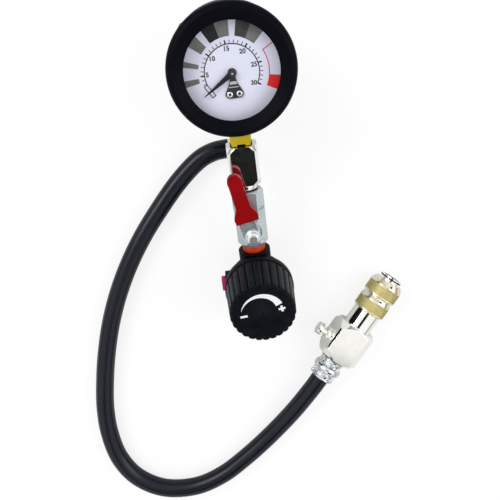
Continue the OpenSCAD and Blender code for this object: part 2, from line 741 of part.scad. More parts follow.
module stem_gland() color([0.8, 0.8, 0.78]) at_valve() difference() {
    union() {
        translate([0, 0, boss_front + 0.1]) hexagon(2 * gland_r - 0.6, gland_front - boss_front - 0.1);
        translate([0, 0, boss_front - 3]) cylinder(r = gland_r - 1, h = 4);
    }
    translate([0, 0, boss_front - 5]) cylinder(r = stem_r + run, h = 20);
}

module lever_washer() color([0.8, 0.8, 0.8]) at_valve()
    translate([0, 0, washer_z]) tube(4.6, stem_r + eps, washer_t);

module lever_plate() color([0.75, 0.78, 0.8]) at_valve() difference() {
    union() {
        translate([0, 0, lever_z]) cylinder(r = lever_w / 2, h = lever_t);
        translate([-lever_w / 2, 0, lever_z]) cube([lever_w, grip_start + 4, lever_t]);
        translate([-grip_w / 2 + grip_wall, grip_start, lever_z])
            cube([grip_w - 2 * grip_wall, lever_len - grip_start - grip_wall - 3, lever_t]);
        translate([-lever_w / 2 - 1.4, 5, lever_z - 2.6]) cube([1.6, 5, lever_t + 2.6]);
    }
    translate([0, 0, lever_z - 1]) cylinder(r = stem_r + eps, h = lever_t + 2);
}

// Dipped grip: a tongue with a round tip and a flared foot, open at the bottom for the plate
module lever_grip() color([0.8, 0.02, 0.03]) at_valve() difference() {
    zc = lever_z + lever_t / 2;
    r = grip_t / 2;
    half = [
        [grip_foot_w / 2 - 0.6, grip_start], [grip_foot_w / 2, foot_end - 3.5],
        [grip_foot_w / 2 - 1, foot_end - 1], [grip_w / 2 + 0.3, foot_end + 3],
        [grip_w / 2, lever_len - grip_tip_r - 1],
        [grip_tip_r - 1.4, lever_len - grip_tip_r + 1.5]
    ];
    union() {
        translate([0, 0, zc - r]) linear_extrude(height = grip_t) union() {
            translate([0, lever_len - grip_tip_r]) circle(r = grip_tip_r);
            polygon(concat(half, [for (i = [len(half) - 1:-1:0]) [-half[i][0], half[i][1]]]));
        }
    }
    translate([-lever_w / 2, grip_start - 1, lever_z]) cube([lever_w, 5, lever_t]);
    translate([-grip_w / 2 + grip_wall, grip_start - 1, lever_z])
        cube([grip_w - 2 * grip_wall, lever_len - grip_start - grip_wall - 2, lever_t]);
}

module lever_nut() color([0.85, 0.85, 0.85]) at_valve() difference() {
    union() {
        translate([0, 0, lever_z + lever_t]) cylinder(r = nut_flange_r, h = 0.8);
        translate([0, 0, lever_z + lever_t + 0.8]) hexagon(nut_af, nut_t - 0.8);
    }
    translate([0, 0, lever_z]) cylinder(r = stem_r + eps, h = 20);
}

// ---- regulator ----
module outlet_seal() color([0.8, 0.1, 0.05]) down_pipe(valve_bottom) tube(seal_r, thread_r, seal_t);

module regulator_body() color([0.07, 0.07, 0.08]) difference() {
    union() {
        at_knob() translate([0, 0, reg_step]) cylinder(r = reg_r, h = reg_front - reg_step);
        at_knob() translate([0, 0, reg_back]) cylinder(r = reg_rear_r, h = reg_step - reg_back + 1);
        down_pipe(reg_top) cylinder(r = port_r, h = reg_bottom - reg_top);
        at_knob() translate([-side_x + plug_head - 0.6, 0, 0]) rotate([0, 90, 0])
            cylinder(r = side_boss_r, h = side_x - plug_head + 0.6);
    }
    at_knob() {
        translate([0, 0, reg_front]) cylinder(r = flange_r + 0.3, h = 10);
        translate([0, 0, chamber_z]) cylinder(r = chamber_r, h = 10);
        translate([0, 0, reg_back - 1]) cylinder(r = cap_r - cap_wall + fit, h = 6);
        translate([0, 0, reg_back - 1])
            cylinder(r = poppet_bore_r, h = poppet_top + fit - reg_back + 1);
        translate([0, 0, -1]) cylinder(r = 2.2, h = 20);
        translate([-side_x, 0, 0]) rotate([0, 90, 0]) cylinder(r = plug_pin_r + fit, h = 12);
        translate([-side_x, 0, 0]) rotate([0, 90, 0]) cylinder(r = 1.5, h = side_x);
        translate([0, -8, 1]) cylinder(r = 1.5, h = 10);
    }
    down_pipe(reg_top - 1) cylinder(r = port_hole_r + 0.2, h = port_depth + 1);
    down_pipe(reg_bottom - port_depth) cylinder(r = port_hole_r, h = port_depth + 1);
    down_pipe(reg_top) cylinder(r = 2, h = 20);
    down_pipe(reg_axis) cylinder(r = 2, h = inlet_start);
}

module diaphragm() color([0.1, 0.1, 0.1]) at_knob() translate([0, 0, reg_front])
    cylinder(r = diaphragm_r, h = diaphragm_t);

module regulator_bonnet() color([0.05, 0.05, 0.06]) at_knob() difference() {
    union() {
        translate([0, 0, flange_z]) cylinder(r = flange_r, h = flange_t);
        translate([0, 0, flange_z]) cylinder(r = neck_r, h = neck_len);
        difference() {
            translate([0, 0, reg_front]) cylinder(r = reg_r, h = 2);
            translate([0, 0, reg_front - 1]) cylinder(r = diaphragm_r + fit, h = 4);
        }
    }
    translate([0, 0, flange_z - 1]) cylinder(r = neck_in_r, h = neck_len - 2);
    translate([0, 0, flange_z]) cylinder(r = screw_r + run, h = neck_len + 1);
    translate([-key_r - free, -key_w / 2 - fit, flange_z - 1])
        cube([2 * (key_r + free), key_w + 2 * fit, neck_len - 2]);
}

module regulator_knob() color([0.06, 0.07, 0.09]) at_knob() difference() {
    translate([0, 0, knob_z]) cylinder(r1 = knob_r, r2 = knob_face_r, h = knob_len);
    translate([0, 0, knob_z - 1]) cylinder(r = neck_r + free, h = neck_len);
    translate([0, 0, knob_z - 1]) cylinder(r = knob_face_r - knob_wall, h = knob_pocket);
    for (i = [0:knob_ribs - 1]) rotate([0, 0, 360 * (i + 0.5) / knob_ribs])
        translate([knob_r + 0.2, 0, knob_z + 2])
            rotate([0, -atan2(knob_r - knob_face_r, knob_len), 0])
                cylinder(r = knob_groove + 0.2, h = knob_len + 4, $fn = 24);
    translate([0, 0, knob_z]) cylinder(r = screw_r, h = knob_len - knob_top_t);
    translate([0, 0, knob_front - 0.6]) cylinder(r1 = 0.8, r2 = 1.8, h = 1);
    translate([0, 0, knob_front - print_d]) difference() {
        cylinder(r = print_r + 0.5, h = 2);
        translate([0, 0, -1]) cylinder(r = print_r, h = 4);
    }
}

module adjusting_screw() color([0.8, 0.8, 0.8]) at_knob() {
    translate([0, 0, screw_end]) cylinder(r = screw_r - eps, h = knob_front - knob_top_t - screw_end);
    translate([0, 0, flange_z + neck_len - 3 - 2]) cylinder(r = screw_flange_r, h = 1.8);
}

module spring_seat() color([0.7, 0.6, 0.3]) at_knob() difference() {
    union() {
        translate([0, 0, spring_seat_z - seat_t]) cylinder(r = seat_r, h = seat_t);
        translate([-key_r, -key_w / 2, spring_seat_z - seat_t]) cube([2 * key_r, key_w, seat_t]);
    }
    translate([0, 0, spring_seat_z - seat_t - 1]) cylinder(r = screw_r + run, h = seat_t + 2);
}

module range_spring() color([0.6, 0.6, 0.62]) at_knob() translate([0, 0, flange_z + 0.1])
    coil(spring_r, spring_wire, spring_seat_z - seat_t - flange_z - 0.2, 4);

module regulator_poppet() color([0.7, 0.6, 0.3]) at_knob() {
    translate([0, 0, poppet_top - poppet_t]) cylinder(r = poppet_r, h = poppet_t);
    cylinder(r = 1.2, h = reg_front - 0.2);
}

module poppet_spring() color([0.7, 0.7, 0.7]) at_knob()
    translate([0, 0, reg_back + 0.1]) coil(2.4, 0.7, poppet_top - poppet_t - reg_back - 0.2, 4);

module rear_cap() color([0.07, 0.07, 0.08]) at_knob() {
    translate([0, 0, -cap_depth]) cylinder(r = cap_r, h = cap_depth + reg_back);
    translate([0, 0, reg_back - eps]) tube(cap_r - cap_wall, poppet_bore_r, cap_spigot);
    translate([0, 0, reg_back - eps]) cylinder(r = 1.5, h = 1.8);
}

module port_plug() color([0.75, 0.03, 0.15]) at_knob() translate([-side_x, 0, 0]) {
    difference() {
        translate([-plug_lip, 0, 0]) rotate([0, 90, 0]) cylinder(r = plug_r, h = plug_head);
        for (i = [0:11]) rotate([30 * i, 0, 0]) translate([-2, 0, plug_r + 0.2])
            rotate([0, 90, 0]) cylinder(r = 0.7, h = plug_head + 2, $fn = 16);
    }
    translate([plug_head - plug_lip - 1, 0, 0]) rotate([0, 90, 0])
        cylinder(r = plug_pin_r, h = 6 + plug_lip);
}

// ---- hose ----
function unit(v) = v / norm(v);
function heading_at(p, i) = i == 0 ? [-1, 0, 0]
    : i >= len(p) - 2 ? unit(p[len(p) - 1] - p[len(p) - 2])
    : unit(unit(p[i + 1] - p[i]) + unit(p[i] - p[i - 1]));

module hose() color([0.05, 0.06, 0.1]) {
    n = len(route);
    points = [for (i = [0:n - 1], k = [0:hose_sides - 1]) let (
        t = heading_at(route, i), side = unit(cross([0, 0, 1], t)), up = cross(t, side),
        a = 360 * (k + 0.5) / hose_sides)
        route[i] + hose_d / 2 / cos(180 / hose_sides) * (side * cos(a) + up * sin(a))];
    first = [[for (k = [0:hose_sides - 1]) k]];
    last = [[for (k = [hose_sides - 1:-1:0]) (n - 1) * hose_sides + k]];
    walls = [for (i = [0:n - 2], k = [0:hose_sides - 1]) let (m = (k + 1) % hose_sides)
        [i * hose_sides + k, (i + 1) * hose_sides + k,
            (i + 1) * hose_sides + m, i * hose_sides + m]];
    polyhedron(points, concat(first, last, walls));
}

// ---- coupler end ----
module hose_ferrule() color([0.78, 0.78, 0.78]) at_coupler() difference() {
    rotate_extrude() union() {
        square([8.6, ferrule_len]);
        translate([8.2, 0.9]) circle(r = 0.9);
        translate([7.6, 8.6]) circle(r = 2.6);
        translate([0, 6]) square([9, 5]);
        translate([8.4, ferrule_len - 3]) square([0.8, 2.2]);
    }
    translate([0, 0, -1]) cylinder(r = hose_d / 2 / cos(180 / hose_sides) + 0.1, h = hose_in + 1.05);
    cylinder(r = 4.4, h = 40);
    for (i = [0:7], s = [3.4, 12.6]) rotate([0, 0, 45 * i + 22.5])
        translate([8, -1.6, s - 1.2]) cube([2, 3.2, 2.4]);
}

module hose_stem() color([0.8, 0.8, 0.75]) at_coupler(hose_in + 0.1) difference() {
    union() {
        cylinder(r = 4.3, h = block_s - hose_in + 5);
    }
    translate([0, 0, -1]) cylinder(r = gas_r - 0.6, h = 40);
}

module coupler_block() color([0.85, 0.85, 0.82]) at_coupler(block_s) difference() {
    turned_bar(block_af, block_chamfer, block_len, 3, 4.5);
    translate([0, 0, -1]) cylinder(r = 4.4, h = 8);
    translate([0, 0, -1]) cylinder(r = gas_r, h = block_len);
    translate([0, 0, block_len - 9]) cylinder(r = 6.5 + fit, h = 10);
    translate([0, 0, bleed_s - block_s]) rotate([-90, 0, 0]) translate([0, 0, 4])
        cylinder(r = bleed_hole_r + fit, h = 20);
    translate([0, 0, bleed_s - block_s]) rotate([-90, 0, 0]) cylinder(r = 1.5, h = 20);
}

module at_bleed() at_coupler(bleed_s) rotate([-90, 0, 0]) translate([0, 0, block_af / 2]) children();

module bleed_body() color([0.85, 0.85, 0.82]) at_bleed() difference() {
    union() {
        cylinder(r = bleed_base_r, h = bleed_base_t);
        translate([0, 0, -7]) cylinder(r = bleed_hole_r, h = 8);
    }
    translate([0, 0, -8]) cylinder(r = 1, h = 20);
    translate([0, 0, -4]) cylinder(r = bleed_neck_r + run, h = 20);
}

module bleed_button() color([0.85, 0.85, 0.82]) at_bleed() {
    translate([0, 0, -0.5]) cylinder(r = bleed_neck_r, h = bleed_rest + 0.6);
    translate([0, 0, bleed_rest]) cylinder(r = bleed_head_r, h = bleed_head_t);
}

module bleed_spring() color([0.6, 0.6, 0.6]) at_bleed()
    translate([0, 0, -3.9]) coil(1.9, 0.6, 3.3, 3);

module coupler_body() color([0.85, 0.85, 0.82]) at_coupler() difference() {
    union() {
        translate([0, 0, barrel_s - 8.5]) cylinder(r = 6.5, h = 9);
        translate([0, 0, barrel_s]) cylinder(r = barrel_r, h = step_s - barrel_s);
        translate([0, 0, step_s - eps]) cylinder(r = core_r, h = nose_s - step_s);
        translate([0, 0, nose_s - 0.2]) cylinder(r = nose_r, h = tip_s - nose_s + 0.2);
    }
    translate([0, 0, barrel_s - 10]) cylinder(r = gas_r, h = 60);
    translate([0, 0, barrel_s + 5]) cylinder(r = socket_r, h = 60);
    translate([0, 0, tip_s - lead_len]) cylinder(r = lead_r, h = 10);
    for (i = [0:5]) rotate([0, 0, 60 * i]) translate([socket_r - 1.5, 0, ball_s])
        rotate([0, 90, 0]) rotate([0, 0, 20]) cylinder(r = lock_ball_r + 0.1, h = 20);
    translate([0, 0, tip_s - 1.8]) difference() {
        cylinder(r = 10, h = 0.9);
        translate([0, 0, -1]) cylinder(r = nose_r - 0.6, h = 3);
    }
    translate([0, 0, step_s + 8]) difference() {
        cylinder(r = socket_r + 1.1, h = 1.7);
        translate([0, 0, -1]) cylinder(r = socket_r - 1, h = 4);
    }
}

module locking_sleeve() color([0.8, 0.78, 0.65]) at_coupler(sleeve_s) difference() {
    h1 = sleeve_len / 2;
    rotate_extrude() union() {
        translate([0, 0]) square([sleeve_r, h1 - 3.4]);
        polygon([[0, h1 - 3.4], [sleeve_r, h1 - 3.4], [sleeve_r - 1.3, h1], [0, h1]]);
        translate([0, h1]) square([sleeve_r + 0.3, h1 - 3.8]);
        polygon([[0, sleeve_len - 3.8], [sleeve_r + 0.3, sleeve_len - 3.8],
            [sleeve_r - 1.6, sleeve_len], [0, sleeve_len]]);
    }
    translate([0, 0, -1]) cylinder(r = barrel_r + run, h = 12);
    translate([0, 0, 9]) cylinder(r = core_r + run, h = 40);
    translate([0, 0, 9]) cylinder(r = barrel_r + run, h = 5.5);
    translate([0, 0, ball_s - sleeve_s - lock_ball_r + sleeve_travel - 0.1])
        cylinder(r = core_r + 1.2, h = 20);
    for (s = [h1 - 2.2, sleeve_len - 2.4]) translate([0, 0, s]) rotate([0, -90, 0])
        cylinder(r = 0.6, h = 40);
}

module sleeve_spring() color([0.6, 0.6, 0.6]) at_coupler(step_s + 0.1)
    coil(core_r + 0.8, 0.8, sleeve_s + 14.5 - step_s - 0.3, 5);

module locking_balls() color([0.7, 0.7, 0.7]) at_coupler(ball_s) for (i = [0:5])
    rotate([0, 0, 60 * i]) translate([core_r - lock_ball_r, 0, 0]) sphere(r = lock_ball_r);

module coupler_seal() color([0.05, 0.05, 0.05]) at_coupler(step_s + 8.85)
    rotate_extrude() translate([socket_r + 0.25, 0]) circle(r = 0.8);

module coupler_poppet() color([0.7, 0.6, 0.3]) at_coupler(shut_s) {
    cylinder(r = socket_r - run, h = shut_t);
    translate([0, 0, -shut_pin]) cylinder(r = 1.6, h = shut_pin + shut_t + 3);
}

module coupler_spring() color([0.6, 0.6, 0.6]) at_coupler(barrel_s + 5.1)
    coil(4, 0.8, shut_s - barrel_s - 5.3, 3);

module nose_ring() color([0.1, 0.1, 0.1]) at_coupler(tip_s - 1.75)
    tube(nose_r + 0.5, nose_r - 0.55, 0.8);

gauge_boot();
gauge_case();
window();
window_ring();
dial_plate();
dial_bracket();
bracket_screws();
pointer();
pointer_arbor();
hairspring();
sector_gear();
tip_link();
movement_front_plate();
movement_back_plate();
bourdon_tube();
gauge_stem();
blowout_disc();
tee_block();
valve_nipple();
nipple_seal();
rear_nipple();
rear_elbow();
valve_end();
valve_body();
valve_ball();
valve_seats();
valve_stem();
stem_gland();
lever_plate();
lever_grip();
lever_nut();
lever_washer();
outlet_seal();
regulator_body();
regulator_bonnet();
regulator_knob();
adjusting_screw();
spring_seat();
range_spring();
diaphragm();
regulator_poppet();
poppet_spring();
rear_cap();
port_plug();
hose();
hose_ferrule();
hose_stem();
coupler_block();
bleed_body();
bleed_button();
bleed_spring();
coupler_body();
locking_sleeve();
sleeve_spring();
locking_balls();
coupler_seal();
coupler_poppet();
coupler_spring();
nose_ring();
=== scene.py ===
from math import atan2, cos, hypot, radians, sin, tau

import bmesh
import bpy
from mathutils import Matrix, Vector


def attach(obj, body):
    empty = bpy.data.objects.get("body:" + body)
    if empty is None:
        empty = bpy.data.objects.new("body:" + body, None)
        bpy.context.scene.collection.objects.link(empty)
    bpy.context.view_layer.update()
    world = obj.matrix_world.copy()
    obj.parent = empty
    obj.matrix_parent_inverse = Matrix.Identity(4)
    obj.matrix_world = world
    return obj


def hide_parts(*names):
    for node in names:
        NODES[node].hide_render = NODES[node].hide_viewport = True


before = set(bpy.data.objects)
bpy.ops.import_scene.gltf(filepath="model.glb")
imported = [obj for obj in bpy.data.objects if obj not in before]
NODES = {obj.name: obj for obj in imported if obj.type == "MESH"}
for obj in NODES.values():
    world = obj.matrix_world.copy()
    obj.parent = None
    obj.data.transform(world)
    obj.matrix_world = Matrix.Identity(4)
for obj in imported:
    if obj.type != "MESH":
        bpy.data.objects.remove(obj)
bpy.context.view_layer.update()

# The object's sizes are in millimetres and its angles in degrees, and piece() brings them to metres.
# Camera, lights and floor are in metres. A turned part is drawn about its own local z.
METRES = 0.001
TO_METRES = Matrix.Scale(METRES, 4)


def shift(x, y, z):
    return Matrix.Translation((x, y, z))


def turn(degrees, axis):
    return Matrix.Rotation(radians(degrees), 4, axis)


# ---------------------------------------------------------------- places
TEE_Y = 9.138
TEE_Z = 41.273
PIPE_RISE = 15
PIVOT_Y = 57.3
VALVE_Y = -43.2
LEVER_TURN = 10.5
KNOB_Y = -84.3
HOSE_Y = 18.456
COUPLER_X = 36.5
COUPLER_Y = -153.3
COUPLER_Z = 13.5
HEADING = 49.5

TESTER = shift(0, TEE_Y, TEE_Z) @ turn(PIPE_RISE, "X")
PIPE = TESTER @ turn(90, "X")
PIVOT = TESTER @ shift(0, PIVOT_Y, 0)
VALVE = TESTER @ shift(0, VALVE_Y, 0) @ turn(LEVER_TURN, "Z")
KNOB = TESTER @ shift(0, KNOB_Y, 0)
COUPLER = shift(COUPLER_X, COUPLER_Y, COUPLER_Z) @ turn(HEADING, "Z") @ turn(90, "Y")

# places along the coupler's axis, from the hose's end toward the tip
BLOCK_START = 17.7
BLOCK_LEN = 28.3
BARREL_SEEN = 13.6
SLEEVE_START = BLOCK_START + BLOCK_LEN + BARREL_SEEN


def along_coupler(distance):
    return COUPLER @ shift(0, 0, distance)


# ---------------------------------------------------------------- camera
CAMERA_PLACE = (-0.003, 0.0287, 0.4027)
CAMERA_TILT = 11.8
CAMERA_ROLL = 7.5
CAMERA_LENS = 41.04
CAMERA_SENSOR = 36
CAMERA_NEAR = 0.01


def set_camera():
    """Looks down at the table, a little tilted and rolled."""
    data = bpy.data.cameras.new("camera")
    data.lens = CAMERA_LENS
    data.sensor_width = CAMERA_SENSOR
    data.clip_start = CAMERA_NEAR
    camera = bpy.data.objects.new("camera", data)
    bpy.context.scene.collection.objects.link(camera)
    bpy.context.scene.camera = camera
    tilt = radians(CAMERA_TILT)
    roll = radians(CAMERA_ROLL)
    right = Vector((1, 0, 0))
    up = Vector((0, cos(tilt), -sin(tilt)))
    rolled_right = right * cos(roll) - up * sin(roll)
    rolled_up = right * sin(roll) + up * cos(roll)
    back = rolled_right.cross(rolled_up)
    turned = Matrix((rolled_right, rolled_up, back)).transposed().to_4x4()
    camera.matrix_world = Matrix.Translation(CAMERA_PLACE) @ turned


set_camera()


# ---------------------------------------------------------------- the hose's route
HOSE_R = 6.5
HOSE_IN = 14
ROUTE_STEPS = 8
HOSE_END_X = COUPLER_X + HOSE_IN * cos(radians(HEADING))
HOSE_END_Y = COUPLER_Y + HOSE_IN * sin(radians(HEADING))
ROUTE = [
    (-8, HOSE_Y, HOSE_R), (-19, 17.4, HOSE_R), (-30.5, 12.6, HOSE_R), (-46, 0, HOSE_R),
    (-62, -17, HOSE_R), (-77, -35, HOSE_R), (-90, -54, HOSE_R), (-101, -74, HOSE_R),
    (-110, -95, HOSE_R), (-117, -117, HOSE_R), (-122, -138, HOSE_R), (-125.5, -159, HOSE_R),
    (-126, -180, HOSE_R), (-122, -201.5, HOSE_R), (-111, -219.5, HOSE_R), (-92, -231.5, HOSE_R),
    (-68, -233.5, HOSE_R), (-46, -226.5, HOSE_R), (-26, -214, HOSE_R), (-6, -198.5, 7),
    (13, -180.5, 9.5), (28.5, -163, 12.5), (COUPLER_X, COUPLER_Y, COUPLER_Z),
    (HOSE_END_X, HOSE_END_Y, COUPLER_Z),
]


def smooth_route(points, steps):
    """A Catmull-Rom curve through the points."""
    ends = [2 * points[0] - points[1]] + points + [2 * points[-1] - points[-2]]
    path = []
    for a, b, c, d in zip(ends, ends[1:], ends[2:], ends[3:]):
        for k in range(steps):
            t = k / steps
            path.append(0.5 * (2 * b + (c - a) * t + (2 * a - 5 * b + 4 * c - d) * t * t
                               + (3 * b - a - 3 * c + d) * t ** 3))
    return path + [points[-1]]


PATH = smooth_route([Vector(point) * METRES for point in ROUTE], ROUTE_STEPS)


# ---------------------------------------------------------------- materials
NOISE_RANGE = (0.3, 0.7)
PATCH_EDGES = (0.35, 0.65)
GLOSS_FINER = 2.3
PRINT_DEPTH = 0.000002


def new_material(name):
    """A material with one principled shader, and the node that gives places on the object."""
    material = bpy.data.materials.new(name)
    material.use_nodes = True
    tree = material.node_tree
    tree.nodes.clear()
    output = tree.nodes.new("ShaderNodeOutputMaterial")
    shader = tree.nodes.new("ShaderNodeBsdfPrincipled")
    tree.links.new(shader.outputs[0], output.inputs[0])
    place = tree.nodes.new("ShaderNodeTexCoord")
    return material, tree, shader, place


def noise(tree, place, scale, detail):
    node = tree.nodes.new("ShaderNodeTexNoise")
    node.inputs["Scale"].default_value = scale
    node.inputs["Detail"].default_value = detail
    tree.links.new(place.outputs["Object"], node.inputs["Vector"])
    return node.outputs["Fac"]


def blend_colour(tree, amount, first, second):
    """The first colour in the noise's low patches, the second in its high ones."""
    ramp = tree.nodes.new("ShaderNodeValToRGB")
    low, high = ramp.color_ramp.elements
    low.position, high.position = PATCH_EDGES
    low.color = (*first, 1)
    high.color = (*second, 1)
    tree.links.new(amount, ramp.inputs[0])
    return ramp.outputs[0]


def spread(tree, amount, low, high):
    """Brings noise, which keeps near the middle, to the range from low to high."""
    node = tree.nodes.new("ShaderNodeMapRange")
    node.inputs["From Min"].default_value = NOISE_RANGE[0]
    node.inputs["From Max"].default_value = NOISE_RANGE[1]
    node.inputs["To Min"].default_value = low
    node.inputs["To Max"].default_value = high
    tree.links.new(amount, node.inputs[0])
    return node.outputs[0]


def bump(tree, shader, height, strength, distance):
    node = tree.nodes.new("ShaderNodeBump")
    node.inputs["Strength"].default_value = strength
    node.inputs["Distance"].default_value = distance
    tree.links.new(height, node.inputs["Height"])
    tree.links.new(node.outputs[0], shader.inputs["Normal"])


def surface(name, first, second, rough, metal=0.0, scale=180, grain=1500, depth=0.00003, strength=0.15,
            spec=0.5):
    """Two close colours in soft patches, uneven gloss, and a fine grain."""
    material, tree, shader, place = new_material(name)
    patches = noise(tree, place, scale, 4)
    tree.links.new(blend_colour(tree, patches, first, second), shader.inputs["Base Color"])
    gloss = noise(tree, place, scale * GLOSS_FINER, 3)
    tree.links.new(spread(tree, gloss, *rough), shader.inputs["Roughness"])
    shader.inputs["Metallic"].default_value = metal
    shader.inputs["Specular IOR Level"].default_value = spec
    bump(tree, shader, noise(tree, place, grain, 2), strength, depth)
    return material


def ink(name, first, second, spec=0.15):
    """A matt print that lies flat."""
    return surface(name, first, second, (0.5, 0.6), depth=PRINT_DEPTH, spec=spec)


def clear_window():
    material, tree, shader, place = new_material("clear window")
    tree.links.new(spread(tree, noise(tree, place, 300, 2), 0.02, 0.05), shader.inputs["Roughness"])
    shader.inputs["Base Color"].default_value = (0.9, 0.94, 1, 1)
    shader.inputs["Alpha"].default_value = 0.012
    shader.inputs["Specular IOR Level"].default_value = 0.1
    return material


BOOT = surface("boot rubber", (0.002, 0.002, 0.005), (0.003, 0.003, 0.007), (0.36, 0.48), grain=2200,
               spec=0.045)
CASE = surface("case paint", (0.003, 0.003, 0.006), (0.005, 0.006, 0.009), (0.3, 0.4), spec=0.08)
SEAL = surface("seal rubber", (0.002, 0.002, 0.003), (0.005, 0.005, 0.006), (0.4, 0.55), spec=0.08)
DIAL = surface("dial card", (0.83, 0.84, 1.0), (0.86, 0.86, 1.0), (0.45, 0.5), grain=3000,
               depth=PRINT_DEPTH, strength=0.05, scale=40, spec=0.2)
WINDOW = clear_window()
GREY_PLATE = surface("dark plate", (0.012, 0.012, 0.014), (0.024, 0.024, 0.026), (0.3, 0.42), spec=0.2)
SILVER_STRIP = surface("silver strip", (0.55, 0.55, 0.58), (0.68, 0.68, 0.70), (0.3, 0.4), metal=0.5)
POINTER = surface("pointer enamel", (0.002, 0.002, 0.004), (0.004, 0.004, 0.007), (0.4, 0.5), spec=0.05)
CHROME = surface("bright steel", (0.74, 0.77, 0.79), (0.82, 0.84, 0.86), (0.16, 0.26), metal=0.75,
                 strength=0.05)
STEEL = surface("plain steel", (0.55, 0.56, 0.58), (0.66, 0.67, 0.69), (0.22, 0.34), metal=1)
BRASS = surface("movement brass", (0.66, 0.5, 0.2), (0.76, 0.6, 0.28), (0.2, 0.32), metal=1)
STEM_BRASS = surface("machined brass", (0.92, 0.66, 0.015), (0.96, 0.72, 0.03), (0.24, 0.30), metal=0.35,
                     strength=0.03, scale=40)
NICKEL = surface("nickel plate", (0.93, 0.92, 0.86), (0.96, 0.95, 0.91), (0.07, 0.11), metal=1,
                 strength=0.02)
TEE_NICKEL = surface("tee plate", (0.90, 0.90, 0.85), (0.94, 0.93, 0.90), (0.09, 0.13), metal=1,
                     strength=0.03)
ZINC = surface("zinc plate", (0.56, 0.63, 0.65), (0.64, 0.70, 0.72), (0.24, 0.30), metal=0.6,
               strength=0.05, scale=45)
BARE_ZINC = surface("zinc sheet", (0.52, 0.57, 0.59), (0.62, 0.67, 0.69), (0.24, 0.34), metal=0.8,
                    strength=0.1, scale=90)
BRIGHT_ZINC = surface("bright zinc", (0.60, 0.63, 0.65), (0.82, 0.85, 0.86), (0.12, 0.20), metal=1,
                      strength=0.08, scale=260)
KNURL = surface("champagne nickel", (0.62, 0.56, 0.36), (0.90, 0.86, 0.70), (0.14, 0.22), metal=1,
                scale=420)
# a darker copy of the sleeve's champagne metal for the knurled faces: painted shade of the knurl's valleys
KNURL_SHADE_GOLD = surface("knurled gold with painted shade", (0.48, 0.41, 0.14), (0.66, 0.58, 0.28), (0.28, 0.38), metal=1,
                     scale=1600)
SEAT = surface("white seat", (0.8, 0.8, 0.76), (0.86, 0.86, 0.83), (0.4, 0.5))
RED_GRIP = surface("red vinyl", (0.26, 0.001, 0.002), (0.36, 0.001, 0.004), (0.24, 0.32), scale=50,
                   grain=500, depth=0.00005, spec=0.14)
RED_SEAL = surface("red sealing ring", (0.50, 0.03, 0.008), (0.66, 0.05, 0.012), (0.35, 0.5), spec=0.25)
RED_PLUG = surface("red plug", (0.50, 0.02, 0.10), (0.66, 0.03, 0.15), (0.35, 0.5), spec=0.3)
BLACK = surface("moulded black", (0.002, 0.003, 0.004), (0.004, 0.005, 0.006), (0.36, 0.48), grain=2400,
                strength=0.2, spec=0.07)
KNOB_BLACK = surface("knob plastic", (0.002, 0.003, 0.006), (0.005, 0.006, 0.009), (0.28, 0.38),
                     grain=2400, strength=0.2, spec=0.1)
HOSE_RUBBER = surface("hose rubber", (0.002, 0.003, 0.009), (0.004, 0.005, 0.014), (0.22, 0.30),
                      scale=60, grain=900, spec=0.32)
WHITE_INK = surface("white ink", (0.90, 0.90, 0.90), (0.95, 0.95, 0.95), (0.45, 0.55),
                    depth=PRINT_DEPTH)
INK = ink("black ink", (0.003, 0.003, 0.004), (0.007, 0.007, 0.009), spec=0.05)
GREY_INK = ink("grey ink", (0.16, 0.16, 0.155), (0.21, 0.21, 0.20))
DARK_INK = ink("dark ink", (0.035, 0.033, 0.03), (0.055, 0.05, 0.045))
RED_INK = ink("red ink", (0.90, 0.004, 0.003), (0.95, 0.008, 0.006), spec=0.1)
LINE_INK = ink("red line ink", (0.66, 0.01, 0.07), (0.74, 0.02, 0.10))


# ---------------------------------------------------------------- making meshes
DOUBLES = 1e-7
WELDED = 0.000002
EDGE_ANGLE = 28
EDGE_SEGMENTS = 2


def rounded(obj, width):
    """Eases the edges that are sharper than EDGE_ANGLE."""
    edges = obj.modifiers.new("edges", "BEVEL")
    edges.width = width * METRES
    edges.segments = EDGE_SEGMENTS
    edges.limit_method = "ANGLE"
    edges.angle_limit = radians(EDGE_ANGLE)
    edges.harden_normals = True


def piece(name, part, place, material, body="tester", over=(), sharp=35, bevel=0):
    """A mesh from a part's points and faces, set at its place and ridden on its body."""
    verts, faces = part
    mesh = bpy.data.meshes.new(name)
    world = TO_METRES @ place
    mesh.from_pydata([world @ Vector(v) for v in verts], [], faces)
    clean = bmesh.new()
    clean.from_mesh(mesh)
    bmesh.ops.remove_doubles(clean, verts=clean.verts, dist=DOUBLES)
    bmesh.ops.recalc_face_normals(clean, faces=clean.faces)
    clean.to_mesh(mesh)
    clean.free()
    obj = bpy.data.objects.new(name, mesh)
    bpy.context.scene.collection.objects.link(obj)
    mesh.shade_smooth()
    mesh.set_sharp_from_angle(angle=radians(sharp))
    mesh.materials.append(material)
    if bevel:
        rounded(obj, bevel)
    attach(obj, body)
    if over:
        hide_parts(*over)
    return obj


def dress(node, material, bevel):
    """A CAD node keeps its shape, gets its material, and its edges are eased."""
    obj = NODES[node]
    if obj.material_slots:
        for material_slot in obj.material_slots:
            material_slot.material = material
    else:
        obj.data.materials.append(material)
    if bevel:
        weld = obj.modifiers.new("joined", "WELD")
        weld.merge_threshold = WELDED
        rounded(obj, bevel)


def bridged(rings, sides):
    """The faces between rings of points that follow each other."""
    faces = []
    for i in range(rings - 1):
        for k in range(sides):
            m = (k + 1) % sides
            faces.append((i * sides + k, i * sides + m, (i + 1) * sides + m, (i + 1) * sides + k))
    return faces


def lathe(profile, sides, shape=None):
    """Rings of (radius, height) turned about local z. shape may change a point's radius."""
    verts = []
    for r, z in profile:
        for k in range(sides):
            a = tau * k / sides
            q = shape(r, z, a) if shape else r
            verts.append((q * cos(a), q * sin(a), z))
    return verts, bridged(len(profile), sides)


